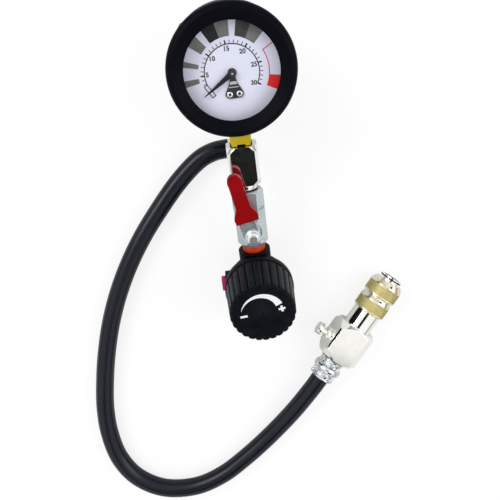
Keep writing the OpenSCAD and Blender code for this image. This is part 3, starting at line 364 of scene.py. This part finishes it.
def prism(outline, low, high):
    n = len(outline)
    verts = [(x, y, low) for x, y in outline] + [(x, y, high) for x, y in outline]
    faces = [tuple(range(n))[::-1], tuple(range(n, 2 * n))]
    faces += [(i, (i + 1) % n, n + (i + 1) % n, n + i) for i in range(n)]
    return verts, faces


def joined(*parts):
    verts, faces = [], []
    for part_verts, part_faces in parts:
        base = len(verts)
        verts += part_verts
        faces += [tuple(i + base for i in face) for face in part_faces]
    return verts, faces


def moved(part, matrix):
    verts, faces = part
    return [tuple(matrix @ Vector(v)) for v in verts], faces


def arc(start, end, radius, count):
    """Points of an arc about the origin, from one angle to the other."""
    angles = [radians(start + (end - start) * i / count) for i in range(count + 1)]
    return [(radius * cos(a), radius * sin(a)) for a in angles]


def circle(radius):
    """A closed outline of 24 sides."""
    return arc(0, 345, radius, 23)


CORNER_STEPS = 3


def eased(points, corner):
    """Rounds the corners of a (radius, height) polyline."""
    out = [points[0]]
    for before, here, after in zip(points, points[1:], points[2:]):
        b, h, a = Vector(before), Vector(here), Vector(after)
        cut = min(corner, (b - h).length * 0.45, (a - h).length * 0.45)
        start = h + (b - h).normalized() * cut
        end = h + (a - h).normalized() * cut
        for i in range(CORNER_STEPS + 1):
            t = i / CORNER_STEPS
            q = start * (1 - t) ** 2 + h * 2 * t * (1 - t) + end * t * t
            out.append((q.x, q.y))
    return out + [points[-1]]


def ring(inner, outer, low, high, corner):
    """A band's section, open on its inner side, where another piece closes it."""
    return eased([(inner, low), (outer, low), (outer, high), (inner, high)], corner)


# ---------------------------------------------------------------- light, floor and backdrop
ROOM_COLOUR = (0.97, 0.98, 1.0, 1)
ROOM_STRENGTH = 0.72
HORIZON = 0.22
HORIZON_TOP = 0.45
CARD_GREY = 0.008
# each dark card: the way it lies, and the angles at which its edge starts and ends
CARDS = [((-0.02, -0.62, 0.785), 14, 17.5), ((-0.158, -0.058, 0.986), 9, 11)]
WHITE = (1, 1, 1, 1)


def grey(value):
    return value, value, value, 1


def dark_card(tree, place, way, inner, outer):
    card = tree.nodes.new("ShaderNodeVectorMath")
    card.operation = "DOT_PRODUCT"
    card.inputs[1].default_value = Vector(way).normalized()
    tree.links.new(place.outputs["Generated"], card.inputs[0])
    edge = tree.nodes.new("ShaderNodeMapRange")
    edge.inputs["From Min"].default_value = cos(radians(outer))
    edge.inputs["From Max"].default_value = cos(radians(inner))
    tree.links.new(card.outputs["Value"], edge.inputs[0])
    return edge.outputs[0]


def reflected_room(tree, place):
    """What metal sees: a white room with two dark cards and a darker horizon."""
    both = tree.nodes.new("ShaderNodeMath")
    both.operation = "MAXIMUM"
    for socket, card in zip(both.inputs, CARDS):
        tree.links.new(dark_card(tree, place, *card), socket)
    split = tree.nodes.new("ShaderNodeSeparateXYZ")
    tree.links.new(place.outputs["Generated"], split.inputs[0])
    rise = tree.nodes.new("ShaderNodeValToRGB")
    low, high = rise.color_ramp.elements
    low.position = 0.0
    low.color = grey(HORIZON)
    high.position = HORIZON_TOP
    high.color = WHITE
    tree.links.new(split.outputs["Z"], rise.inputs[0])
    mix = tree.nodes.new("ShaderNodeMix")
    mix.data_type = "RGBA"
    mix.inputs["B"].default_value = grey(CARD_GREY)
    tree.links.new(both.outputs[0], mix.inputs["Factor"])
    tree.links.new(rise.outputs[0], mix.inputs["A"])
    return mix.outputs["Result"]


def mixed(tree, amount, first, second):
    mix = tree.nodes.new("ShaderNodeMixShader")
    tree.links.new(amount, mix.inputs[0])
    tree.links.new(first, mix.inputs[1])
    tree.links.new(second, mix.inputs[2])
    return mix.outputs[0]


def set_backdrop():
    """Even light for the object, a room for its reflections and plain white behind it."""
    world = bpy.data.worlds.new("studio")
    bpy.context.scene.world = world
    world.use_nodes = True
    tree = world.node_tree
    tree.nodes.clear()
    output = tree.nodes.new("ShaderNodeOutputWorld")
    place = tree.nodes.new("ShaderNodeTexCoord")
    rays = tree.nodes.new("ShaderNodeLightPath")
    plain = tree.nodes.new("ShaderNodeBackground")
    plain.inputs[0].default_value = ROOM_COLOUR
    plain.inputs[1].default_value = ROOM_STRENGTH
    gloss = tree.nodes.new("ShaderNodeBackground")
    tree.links.new(reflected_room(tree, place), gloss.inputs[0])
    seen = tree.nodes.new("ShaderNodeBackground")
    seen.inputs[0].default_value = WHITE
    lit = mixed(tree, rays.outputs["Is Glossy Ray"], plain.outputs[0], gloss.outputs[0])
    tree.links.new(mixed(tree, rays.outputs["Is Camera Ray"], lit, seen.outputs[0]), output.inputs[0])


LIT_POINT = (0, -0.05, 0.02)


def softbox(name, place, size, watts):
    light = bpy.data.lights.new(name, "AREA")
    light.shape = "RECTANGLE"
    light.size, light.size_y = size
    light.energy = watts
    obj = bpy.data.objects.new(name, light)
    bpy.context.scene.collection.objects.link(obj)
    obj.location = place
    obj.rotation_euler = (Vector(LIT_POINT) - Vector(place)).to_track_quat("-Z", "Y").to_euler()


FLOOR_REACH = 4
FLOOR_GREY = 0.9
FLOOR_ROUGH = 0.9
FLOOR_GLOW = 1.08
GLOW_SHARE = 0.72


def floor_paint():
    """A pale matt floor that shows the camera some of its own light, and keeps its shadows."""
    material, tree, shader, _ = new_material("pale floor")
    shader.inputs["Base Color"].default_value = grey(FLOOR_GREY)
    shader.inputs["Roughness"].default_value = FLOOR_ROUGH
    shader.inputs["Specular IOR Level"].default_value = 0.1
    rays = tree.nodes.new("ShaderNodeLightPath")
    glow = tree.nodes.new("ShaderNodeEmission")
    glow.inputs[1].default_value = FLOOR_GLOW
    share = tree.nodes.new("ShaderNodeMath")
    share.operation = "MULTIPLY"
    share.inputs[1].default_value = GLOW_SHARE
    tree.links.new(rays.outputs["Is Camera Ray"], share.inputs[0])
    output = next(node for node in tree.nodes if node.type == "OUTPUT_MATERIAL")
    tree.links.new(mixed(tree, share.outputs[0], shader.outputs[0], glow.outputs[0]), output.inputs[0])
    return material


def lay_floor():
    far = FLOOR_REACH
    mesh = bpy.data.meshes.new("floor")
    mesh.from_pydata([(-far, -far, 0), (far, -far, 0), (far, far, 0), (-far, far, 0)], [], [(0, 1, 2, 3)])
    mesh.materials.append(floor_paint())
    floor = bpy.data.objects.new("floor", mesh)
    bpy.context.scene.collection.objects.link(floor)


set_backdrop()
softbox("key", (-0.75, 0.55, 0.95), (0.7, 0.5), 5.0)
softbox("fill", (0.85, -0.1, 0.8), (0.5, 0.8), 2.6)
lay_floor()
bpy.context.scene.view_settings.view_transform = "Standard"

# ---------------------------------------------------------------- CAD nodes: material and eased edges
for node_name, node_material, edge_width in [
    ("gauge_boot", BOOT, 0), ("gauge_case", CASE, 0), ("window", WINDOW, 0), ("window_ring", CASE, 0),
    ("blowout_disc", SEAL, 0.3), ("dial_plate", DIAL, 0), ("dial_bracket", GREY_PLATE, 0.25),
    ("bracket_screws", CHROME, 0.12), ("pointer", POINTER, 0), ("pointer_arbor", BRASS, 0),
    ("hairspring", BRASS, 0), ("sector_gear", BRASS, 0), ("movement_front_plate", BRASS, 0.1),
    ("movement_back_plate", BRASS, 0.1), ("bourdon_tube", BRASS, 0.2), ("tip_link", STEEL, 0),
    ("gauge_stem", STEM_BRASS, 0.4), ("tee_block", TEE_NICKEL, 0.25), ("valve_nipple", NICKEL, 0.3),
    ("nipple_seal", SEAL, 0.1), ("rear_nipple", NICKEL, 0.3), ("rear_elbow", NICKEL, 0.4),
    ("valve_end", ZINC, 0.3), ("valve_body", ZINC, 0.5), ("valve_ball", CHROME, 0),
    ("valve_seats", SEAT, 0), ("valve_stem", CHROME, 0.3), ("stem_gland", ZINC, 0.2),
    ("lever_plate", BARE_ZINC, 0.25), ("lever_washer", CHROME, 0.15), ("lever_nut", CHROME, 0.3),
    ("lever_grip", RED_GRIP, 1.4), ("outlet_seal", RED_SEAL, 0.3), ("regulator_body", BLACK, 0.5),
    ("regulator_bonnet", BLACK, 0.4), ("regulator_knob", KNOB_BLACK, 0), ("adjusting_screw", STEEL, 0),
    ("spring_seat", BRASS, 0), ("range_spring", STEEL, 0), ("diaphragm", SEAL, 0),
    ("regulator_poppet", BRASS, 0), ("poppet_spring", STEEL, 0), ("rear_cap", BLACK, 0.5),
    ("port_plug", RED_PLUG, 0.2), ("hose_ferrule", BRIGHT_ZINC, 0), ("hose_stem", NICKEL, 0),
    ("coupler_block", NICKEL, 0.35), ("bleed_body", NICKEL, 0.3), ("bleed_button", NICKEL, 0.4),
    ("bleed_spring", STEEL, 0), ("coupler_body", NICKEL, 0), ("locking_sleeve", KNURL, 0.2),
    ("sleeve_spring", STEEL, 0), ("locking_balls", CHROME, 0), ("coupler_seal", SEAL, 0),
    ("coupler_poppet", BRASS, 0), ("coupler_spring", STEEL, 0), ("nose_ring", SEAL, 0.1),
]:
    dress(node_name, node_material, edge_width)


# ---------------------------------------------------------------- dial print
DIAL_TOP = 12.8
PRINT = 0.05
ZERO_ANGLE = 221.0
UNIT_ANGLE = 8.3
FIRST_TICK = 3
FULL_SCALE = 30
SCALE_R = 15.6
SCALE_HALF = 0.3
SCALE_LATE = 2
SCALE_OVER = 0.6
# each tick: where it starts and ends along the radius, and its width
LONG_TICK = (SCALE_R, 17.8, 0.8)
SHORT_TICK = (SCALE_R + 0.5, 17.6, 0.42)
FIGURE_SIZE = 3.6
FIGURE_BOLD = 0.09
# each figure: the radius and the angle of its middle
FIGURES = {5: (14.0, 178.0), 10: (13.4, 139.4), 15: (13.2, 96.9), 20: (12.9, 56.0), 25: (13.2, 13.0),
           30: (13.6, -31.0)}
ZERO_BOX = [(15.2, -3.8), (17.3, -3.8), (17.3, 3.8), (15.2, 3.8)]
ZERO_BOX_ANGLE = 212.4
BAND_IN = 19.6
BAND_OUT = 27.8
NARROW_BAND = 10
NARROW_EXTRA = 0.6
# each band: the angles of its sides, and its ink
DIAL_BANDS = [
    (190.7, 182.9, GREY_INK), (167.3, 160.3, GREY_INK), (143.2, 129.2, GREY_INK), (120.7, 104.0, INK),
    (104.0, 87.4, GREY_INK), (78.8, 61.6, DARK_INK), (61.6, 45.2, GREY_INK),
]
RED_TOP = 29.0
RED_EDGE = -10.0
RED_LOW = -26.4
RED_IN = 20.9
RED_OUT = 28.3
LINE = 0.5
ARC_STEP = 2.0


def unit_angle(value):
    return ZERO_ANGLE - UNIT_ANGLE * value


def flat(outline):
    """A form one unit thick, which printed() presses onto the dial card."""
    return prism(outline, 0, 1)


def arc_band(inner, outer, start, end):
    count = max(2, int(abs(end - start) / ARC_STEP) + 1) - 1
    return flat(arc(start, end, outer, count) + arc(start, end, inner, count)[::-1])


def radial_bar(inner, outer, angle, width):
    outline = [(inner, -width / 2), (outer, -width / 2), (outer, width / 2), (inner, width / 2)]
    return moved(flat(outline), turn(angle, "Z"))


def frame_outline(corners, width):
    """Thin bars along a closed outline."""
    bars = []
    for a, b in zip(corners, corners[1:] + corners[:1]):
        a, b = Vector(a), Vector(b)
        along = (b - a).normalized() * width / 2
        side = Vector((-along.y, along.x))
        bars.append(flat([a - along - side, b + along - side, b + along + side, a - along + side]))
    return joined(*bars)


def figure(text, matrix):
    """A plain number, as a flat form."""
    curve = bpy.data.curves.new("figures", "FONT")
    curve.body = text
    curve.size = FIGURE_SIZE
    curve.align_x = "CENTER"
    curve.align_y = "CENTER"
    curve.extrude = 0.5
    curve.offset = FIGURE_BOLD
    holder = bpy.data.objects.new("figures", curve)
    mesh = holder.to_mesh()
    verts = [tuple(matrix @ (v.co + Vector((0, 0, 0.5)))) for v in mesh.vertices]
    faces = [tuple(p.vertices) for p in mesh.polygons]
    holder.to_mesh_clear()
    bpy.data.objects.remove(holder)
    bpy.data.curves.remove(curve)
    return verts, faces


def printed(name, part, material, level=1):
    """A printed form lies on the dial card, on its own thin layer."""
    verts, faces = part
    lift = DIAL_TOP + PRINT * level
    pressed = [(x, y, lift if z else lift - PRINT) for x, y, z in verts]
    piece(name, (pressed, faces), PIVOT, material)


def tick(value):
    inner, outer, width = LONG_TICK if value in FIGURES else SHORT_TICK
    return radial_bar(inner, outer, unit_angle(value), width)


def print_scale():
    start = unit_angle(FIRST_TICK) + SCALE_LATE
    end = unit_angle(FULL_SCALE) - SCALE_OVER
    printed("dial_arc", arc_band(SCALE_R - SCALE_HALF, SCALE_R + SCALE_HALF, start, end), INK)
    printed("dial_ticks", joined(*[tick(v) for v in range(FIRST_TICK, FULL_SCALE + 1)]), INK, 2)
    for value, (r, angle) in FIGURES.items():
        at = shift(r * cos(radians(angle)), r * sin(radians(angle)), 0)
        printed("dial_figure_%d" % value, figure(str(value), at), INK, 2)
    printed("dial_zero_box", moved(frame_outline(ZERO_BOX, LINE), turn(ZERO_BOX_ANGLE, "Z")), INK, 2)


def print_bands():
    for i, (high, low, material) in enumerate(DIAL_BANDS):
        inner = BAND_IN if high - low > NARROW_BAND else BAND_IN - NARROW_EXTRA
        printed("dial_band_%d" % i, arc_band(inner, BAND_OUT, high, low), material)
    printed("dial_red_block", arc_band(RED_IN, RED_OUT, RED_EDGE, RED_LOW), RED_INK)
    printed("dial_red_lines", joined(
        arc_band(RED_IN, RED_IN + LINE, RED_TOP, RED_EDGE),
        radial_bar(RED_IN, RED_OUT, RED_TOP, LINE),
        radial_bar(RED_IN, RED_OUT, RED_EDGE, LINE)), LINE_INK, 2)


print_scale()
print_bands()


# ---------------------------------------------------------------- bracket and its screws
BRACKET_Z = 12.8
BRACKET_TOP = 13.8
HUB_R = 2.6
LOBE_R = 2.45
SCREW_X = 2.75
SCREW_Y = -11.7
NECK = [(1.75, -3.4), (2.3, -5.6)]
STRIP = 0.05
STRIPS = [[(-2.2, -6.2), (2.2, -6.2), (1.7, -4.6), (-1.7, -4.6)],
          [(-2.9, -8.0), (2.9, -8.0), (2.75, -7.5), (-2.75, -7.5)]]
SCREW_CORNER = 0.2
SCREW_SECTION = [(0.001, 14.35), (0.75, 14.35), (0.8, 14.75), (1.15, 14.85), (1.75, 14.5), (1.75, 13.8),
                 (0.9, 13.8), (0.9, 8.3), (0.001, 8.3)]
SCREW_SIDES = 40
DOT_R = 0.72
DOT_LOW = 14.33
DOT_TOP = 14.4


def bracket_outline():
    """A round hub over the pivot, a neck, and two lobes under the screws."""
    hub = arc(-48, 228, HUB_R, 28)
    left_neck = [(-x, y) for x, y in NECK]
    left_lobe = [(x - SCREW_X, y + SCREW_Y) for x, y in arc(152, 270, LOBE_R, 12)]
    right_lobe = [(x + SCREW_X, y + SCREW_Y) for x, y in arc(270, 388, LOBE_R, 12)]
    return hub + left_neck + left_lobe + right_lobe + NECK[::-1]


def at_screws(part):
    return joined(*[moved(part, shift(side * SCREW_X, SCREW_Y, 0)) for side in (-1, 1)])


def bracket():
    plate = prism(bracket_outline(), BRACKET_Z, BRACKET_TOP)
    piece("bracket_plate", plate, PIVOT, GREY_PLATE, over=["dial_bracket"], bevel=0.3)
    strips = joined(*[prism(outline, BRACKET_TOP, BRACKET_TOP + STRIP) for outline in STRIPS])
    piece("bracket_strip", strips, PIVOT, SILVER_STRIP)
    screw = lathe(eased(SCREW_SECTION, SCREW_CORNER), SCREW_SIDES)
    piece("bracket_screw_pair", at_screws(screw), PIVOT, CHROME, over=["bracket_screws"])
    dot = prism(circle(DOT_R), DOT_LOW, DOT_TOP)
    piece("bracket_screw_centres", at_screws(dot), PIVOT, INK)


bracket()

# ---------------------------------------------------------------- pointer
POINTER_ANGLE = 213
POINTER_Z = 14.4
POINTER_TOP = 15.0
NEEDLE = [(-1.5, -1.3), (0, -1.75), (4, -1.45), (20.6, -0.2), (20.8, 0), (20.6, 0.2), (4, 1.45), (0, 1.75),
          (-1.5, 1.3)]
HUB_SECTION = [(0.001, 16.25), (1.75, 16.25), (1.9, 15.9), (1.9, POINTER_Z), (0.001, POINTER_Z)]
HUB_CORNER = 0.25
HUB_SIDES = 48
SPOT_R = 0.55
SPOT_LOW = 16.2
SPOT_TOP = 16.3


def pointer():
    needle = prism(NEEDLE, POINTER_Z, POINTER_TOP)
    piece("pointer_needle", needle, PIVOT @ turn(POINTER_ANGLE, "Z"), POINTER,
          body="pointer", over=["pointer"], bevel=0.1)
    hub = lathe(eased(HUB_SECTION, HUB_CORNER), HUB_SIDES)
    piece("pointer_hub", hub, PIVOT, GREY_PLATE, body="pointer")
    spot = prism(circle(SPOT_R), SPOT_LOW, SPOT_TOP)
    piece("pointer_spot", spot, PIVOT, SILVER_STRIP, body="pointer")


pointer()

# ---------------------------------------------------------------- lever nut, and a dark ring of painted shade under the stem
NUT_SECTION = [(2.52, 18.42), (5.0, 18.42), (5.0, 19.1), (4.7, 19.5), (4.25, 19.8), (4.05, 21.6),
               (3.4, 22.2), (2.52, 22.4)]
NUT_CORNER = 0.3
# a dark ring between the gauge's stem and the tee, as painted shade of the gap between them
STEM_SHADE_RING = ring(5.0, 7.0, -13.8, -12.55, 0.2)
RING_SIDES = 72

nut = lathe(eased(NUT_SECTION, NUT_CORNER), RING_SIDES)
piece("lever_round_nut", nut, VALVE, CHROME, body="lever", over=["lever_nut"])
# a dark ring of painted shade where the stem meets the tee
piece("stem_shade_ring", lathe(STEM_SHADE_RING, RING_SIDES), PIPE, SEAL)

# ---------------------------------------------------------------- knob
RIBS = 26
RIB_SAMPLES = 14
RIB_START = 1.2
RIB_FADE = 0.9
RIB_END = 2.2
GROOVE = 1.15
KNOB_REAR = 16.0
KNOB_FRONT = 44.0
KNOB_R = 22.8
KNOB_FACE_R = 21.0
RIBS_INSIDE = 18.8
BORE_R = 14.4
BORE_DEPTH = 22.9
# heights over the knob's rear where its wall has a ring of points
WALL_RINGS = (0.5, 1.1, 1.2, 1.6, 2.1, 4, 8, 12, 16, 20, 23, 25, 25.8, 26.4, 27.0)


def knob_shape(r, z, a):
    """Broad rounded ribs with narrow valleys between them, fading out at both ends."""
    if r < RIBS_INSIDE or z < KNOB_REAR + RIB_START:
        return r
    off_centre = abs(2 * ((a * RIBS / tau) % 1.0) - 1)
    valley = off_centre ** 5
    if z > KNOB_FRONT - RIB_END:
        valley = 0.5 * valley + 0.5 * off_centre ** 2
    fade = min(1.0, (z - KNOB_REAR - RIB_START) / RIB_FADE)
    return r - GROOVE * valley * fade


def wall_radius(z):
    return KNOB_R + (KNOB_FACE_R - KNOB_R) * (z - KNOB_REAR) / (KNOB_FRONT - KNOB_REAR)


def knob_profile():
    """From the bore, out over the rear edge, up the wall and in across the dished face."""
    inside = [(BORE_R, KNOB_REAR + BORE_DEPTH), (BORE_R, KNOB_REAR), (22.3, KNOB_REAR),
              (22.6, KNOB_REAR + 0.2)]
    wall = [(wall_radius(KNOB_REAR + h), KNOB_REAR + h) for h in WALL_RINGS]
    # each point of the rim and the face: its radius, and its depth under the front
    face = [(wall_radius(KNOB_FRONT - 0.6) - 0.15, 0.55), (wall_radius(KNOB_FRONT - 0.3) - 0.5, 0.2),
            (wall_radius(KNOB_FRONT) - 1.1, 0.05), (19.4, 0.05), (16, 0.04), (9.6, 0.04), (9.3, 0.1),
            (3.2, 0.1), (2.4, 0.3), (1.2, 0.7), (0.001, 0.8)]
    return inside + wall + [(r, KNOB_FRONT - depth) for r, depth in face]


# ---------------------------------------------------------------- the marks on the knob's face
FACE = KNOB_FRONT - 0.06
INK_UP = 0.05
WEDGE_R = 13.9
WEDGE_START = 168.5
WEDGE_END = 25
WEDGE_TIP = 0.05
WEDGE_WIDTH = 4.5
WEDGE_STEPS = 40
MARK_R = 12.2
PLUS_ANGLE = 8
MINUS_ANGLE = 184
PLUS_HALF = 0.72
PLUS_REACH = 2.15
MINUS = [(-2.3, -0.75), (2.3, -0.75), (2.3, 0.75), (-2.3, 0.75)]


def wedge():
    """A crescent that widens clockwise, from a thin tip to a blunt end."""
    outer, inner = [], []
    for i in range(WEDGE_STEPS + 1):
        t = i / WEDGE_STEPS
        a = radians(WEDGE_START + (WEDGE_END - WEDGE_START) * t)
        inner_r = WEDGE_R - WEDGE_TIP - WEDGE_WIDTH * t ** 0.9
        outer.append((WEDGE_R * cos(a), WEDGE_R * sin(a)))
        inner.append((inner_r * cos(a), inner_r * sin(a)))
    return outer + inner[::-1]


def plus():
    p, q = PLUS_HALF, PLUS_REACH
    return [(-p, -q), (p, -q), (p, -p), (q, -p), (q, p), (p, p), (p, q), (-p, q), (-p, p), (-q, p),
            (-q, -p), (-p, -p)]


def mark(name, outline, place=shift(0, 0, 0)):
    """A printed mark on the knob's face."""
    raised = prism(outline, FACE, FACE + INK_UP)
    piece(name, moved(raised, place), KNOB, WHITE_INK, body="knob")


def knob():
    ribbed = lathe(knob_profile(), RIBS * RIB_SAMPLES, knob_shape)
    piece("ribbed_knob", ribbed, KNOB, KNOB_BLACK, body="knob", over=["regulator_knob"],
          sharp=50)
    mark("knob_wedge", wedge())
    mark("knob_plus", plus(), turn(PLUS_ANGLE, "Z") @ shift(MARK_R, 0, 0))
    mark("knob_minus", MINUS, turn(MINUS_ANGLE, "Z") @ shift(MARK_R, 0, 0))


knob()

# ---------------------------------------------------------------- hose ferrule, and a dark ring of painted shade at the block
CRIMPS = 8
CRIMP_CENTRES = (3.4, 12.6)
CRIMP_REACH = 1.7
CRIMP_DEPTH = 1.05
CRIMP_GAP = 0.18
CRIMPED_FROM = 8.0
FERRULE_SIDES = 128
FERRULE_PROFILE = [
    (6.85, 0.05), (8.3, 0.0), (8.9, 0.3), (9.05, 0.9), (8.8, 1.4), (8.5, 1.7), (8.75, 1.9), (8.85, 2.3),
    (8.9, 3.4), (8.85, 4.5), (8.75, 4.9), (8.6, 5.2), (9.3, 5.7), (9.9, 6.6), (10.15, 7.7), (10.18, 8.7),
    (10.0, 9.7), (9.4, 10.5), (8.75, 10.9), (8.85, 11.1), (8.9, 11.5), (8.9, 12.6), (8.9, 13.7),
    (8.8, 14.1), (8.5, 14.4), (8.5, 14.9), (9.0, 15.1), (9.15, 15.6), (9.15, 16.5), (8.9, 16.9),
    (8.3, 17.1), (8.3, 17.7), (4.4, 17.7)]
# a dark ring as painted shade of the gap between the ferrule and the block
FERRULE_SHADE_RING = ring(7.0, 9.6, 16.2, 17.1, 0.15)
SHADE_RING_SIDES = 96


def ferrule_shape(r, z, a):
    """Two crimped bands: flats pressed by eight jaws, with small ridges left between them."""
    if r <= CRIMPED_FROM:
        return r
    phase = (a * CRIMPS / tau) % 1.0
    jaw = CRIMP_DEPTH if CRIMP_GAP < phase < 1 - CRIMP_GAP else 0.0
    press = 0.0
    for centre in CRIMP_CENTRES:
        near = max(0.0, 1 - abs((z - centre) / CRIMP_REACH) ** 4)
        press = max(press, near * (0.1 + jaw))
    return r - press


ferrule = piece("crimped_ferrule", lathe(FERRULE_PROFILE, FERRULE_SIDES, ferrule_shape), along_coupler(0),
                BRIGHT_ZINC, over=["hose_ferrule"], sharp=40)
# the dark ring is painted shade of the gap at the block's end
gap_shade = piece("ferrule_gap_shade", lathe(FERRULE_SHADE_RING, SHADE_RING_SIDES), along_coupler(0), SEAL)

# ---------------------------------------------------------------- coupler block
BLOCK_HALF = 13.5
BEVEL_LEFT = 1.3
BEVEL_RIGHT = 5.2
BEVEL_LOW = 2.0
END_R = 13.1
FULL_R = 16.6
END_SLOPE = 3.6
END_FACETS = 72


def block_outline():
    """Local x runs down and local y to the left; the upper right edge has the broad bevel."""
    a = BLOCK_HALF
    return [(-a, a - BEVEL_LEFT), (-a, BEVEL_RIGHT - a), (BEVEL_RIGHT - a, -a), (a - BEVEL_LOW, -a),
            (a, BEVEL_LOW - a), (a, a - BEVEL_LOW), (a - BEVEL_LOW, a), (BEVEL_LEFT - a, a)]


def cut_by(mesh, point, normal):
    """Cuts away what lies beyond a plane and closes the cut."""
    done = bmesh.ops.bisect_plane(mesh, geom=mesh.verts[:] + mesh.edges[:] + mesh.faces[:], dist=1e-5,
                                  plane_co=point, plane_no=normal, clear_outer=True)
    rim = [edge for edge in done["geom_cut"] if isinstance(edge, bmesh.types.BMEdge)]
    if rim:
        bmesh.ops.contextual_create(mesh, geom=rim)


def coupler_block():
    """A bar with eased edges, both of its ends turned down to a shallow cone."""
    verts, faces = prism(block_outline(), 0, BLOCK_LEN)
    solid = bmesh.new()
    corners = [solid.verts.new(v) for v in verts]
    for face in faces:
        solid.faces.new([corners[i] for i in face])
    lean = atan2(FULL_R - END_R, END_SLOPE)
    for k in range(END_FACETS):
        a = tau * (k + 0.5) / END_FACETS
        for z, way in ((0, -1), (BLOCK_LEN, 1)):
            cut_by(solid, (END_R * cos(a), END_R * sin(a), z),
                   (cos(lean) * cos(a), cos(lean) * sin(a), way * sin(lean)))
    solid.verts.index_update()
    part = [tuple(v.co) for v in solid.verts], [tuple(v.index for v in f.verts) for f in solid.faces]
    solid.free()
    return part


block = piece("coupler_cross_block", coupler_block(), along_coupler(BLOCK_START), NICKEL,
              over=["coupler_block"], bevel=0.25)

# ---------------------------------------------------------------- locking sleeve
SLEEVE_LEN = 25.8
SLEEVE_R = 11.6
FRONT_EXTRA = 0.3
KNURLS = 56
KNURL_SAMPLES = 6
KNURL_DEPTH = 0.5
KNURL_FADE = 0.35
ROW_STEP = 0.27
REAR_BAND = (1.0, 8.6)
FRONT_BAND = (13.9, 21.4)
HOLE_R = 0.95
HOLE_FLOOR = 9.5
# each hole: its place along the sleeve, and the radius at which its mouth lies
HOLES = ((10.8, 11.1), (23.4, 11.3))


def in_band(z):
    return any(low < z < high for low, high in (REAR_BAND, FRONT_BAND))


def knurl(r, z, a):
    """Crossed ridges in the two bands."""
    if r < SLEEVE_R - 0.3 or not in_band(z):
        return r
    low, high = REAR_BAND if z < REAR_BAND[1] else FRONT_BAND
    edge = min(1.0, (z - low) / KNURL_FADE, (high - z) / KNURL_FADE)
    pitch = tau * SLEEVE_R / KNURLS
    around = a * KNURLS / tau
    along = z / pitch
    one = abs(((around + along) % 1.0) * 2 - 1)
    two = abs(((around - along) % 1.0) * 2 - 1)
    return r - KNURL_DEPTH * edge * max(one, two) ** 3


def sleeve_profile():
    def rows(low, high, r):
        count = int((high - low) / ROW_STEP)
        return [(r, low + (high - low) * i / count) for i in range(count + 1)]

    start = [(10.05, 0.0), (11.2, 0.0), (SLEEVE_R, 0.4)]
    waist = [(SLEEVE_R, 9.2), (11.3, 10.0), (10.8, 11.2), (10.3, 12.3), (10.3, 12.8), (11.5, 12.95),
             (11.85, 13.3)]
    nose = [(11.9, 21.9), (11.5, 22.8), (10.9, 24.0), (10.2, 25.2), (9.9, SLEEVE_LEN), (8.5, SLEEVE_LEN)]
    return start + rows(*REAR_BAND, SLEEVE_R) + waist + rows(*FRONT_BAND, SLEEVE_R + FRONT_EXTRA) + nose


def locking_sleeve():
    """The sleeve; its knurled faces get a darker copy of its gold, as painted shade of the knurl's
    valleys.
    """
    verts, faces = lathe(sleeve_profile(), KNURLS * KNURL_SAMPLES, knurl)
    made = piece("knurled_sleeve", (verts, faces), along_coupler(SLEEVE_START), KNURL,
                 body="sleeve", over=["locking_sleeve"], sharp=60)
    made.data.materials.append(KNURL_SHADE_GOLD)
    knurled = [in_band(z) and hypot(x, y) > SLEEVE_R - 1 for x, y, z in verts]
    for polygon, face in zip(made.data.polygons, faces):
        polygon.material_index = int(all(knurled[i] for i in face))
    return made


def hole_pair():
    """Dark studs sit where two of the sleeve's small holes are, as painted shade in the holes."""
    studs = [moved(prism(circle(HOLE_R), HOLE_FLOOR, mouth), shift(0, 0, z) @ turn(-90, "Y"))
             for z, mouth in HOLES]
    return piece("sleeve_hole_shade", joined(*studs), along_coupler(SLEEVE_START), SEAL,
                 body="sleeve")


sleeve = locking_sleeve()
# dark studs of painted shade in the sleeve's two holes
sleeve_hole_shade = hole_pair()

# ---------------------------------------------------------------- hose
HOSE_SIDES = 40


def tube_along(path, radius, sides):
    """A round bar along a path, closed at both ends."""
    verts = []
    count = len(path)
    for i, point in enumerate(path):
        ahead = (path[min(i + 1, count - 1)] - path[max(i - 1, 0)]).normalized()
        side = Vector((0, 0, 1)).cross(ahead).normalized()
        lift = ahead.cross(side)
        for k in range(sides):
            a = tau * k / sides
            verts.append(point + radius * (side * cos(a) + lift * sin(a)))
    ends = [tuple(range(sides))[::-1], tuple((count - 1) * sides + k for k in range(sides))]
    return verts, bridged(count, sides) + ends


hose = piece("rubber_hose", tube_along([point / METRES for point in PATH], HOSE_R, HOSE_SIDES),
             Matrix.Identity(4), HOSE_RUBBER, over=["hose"])
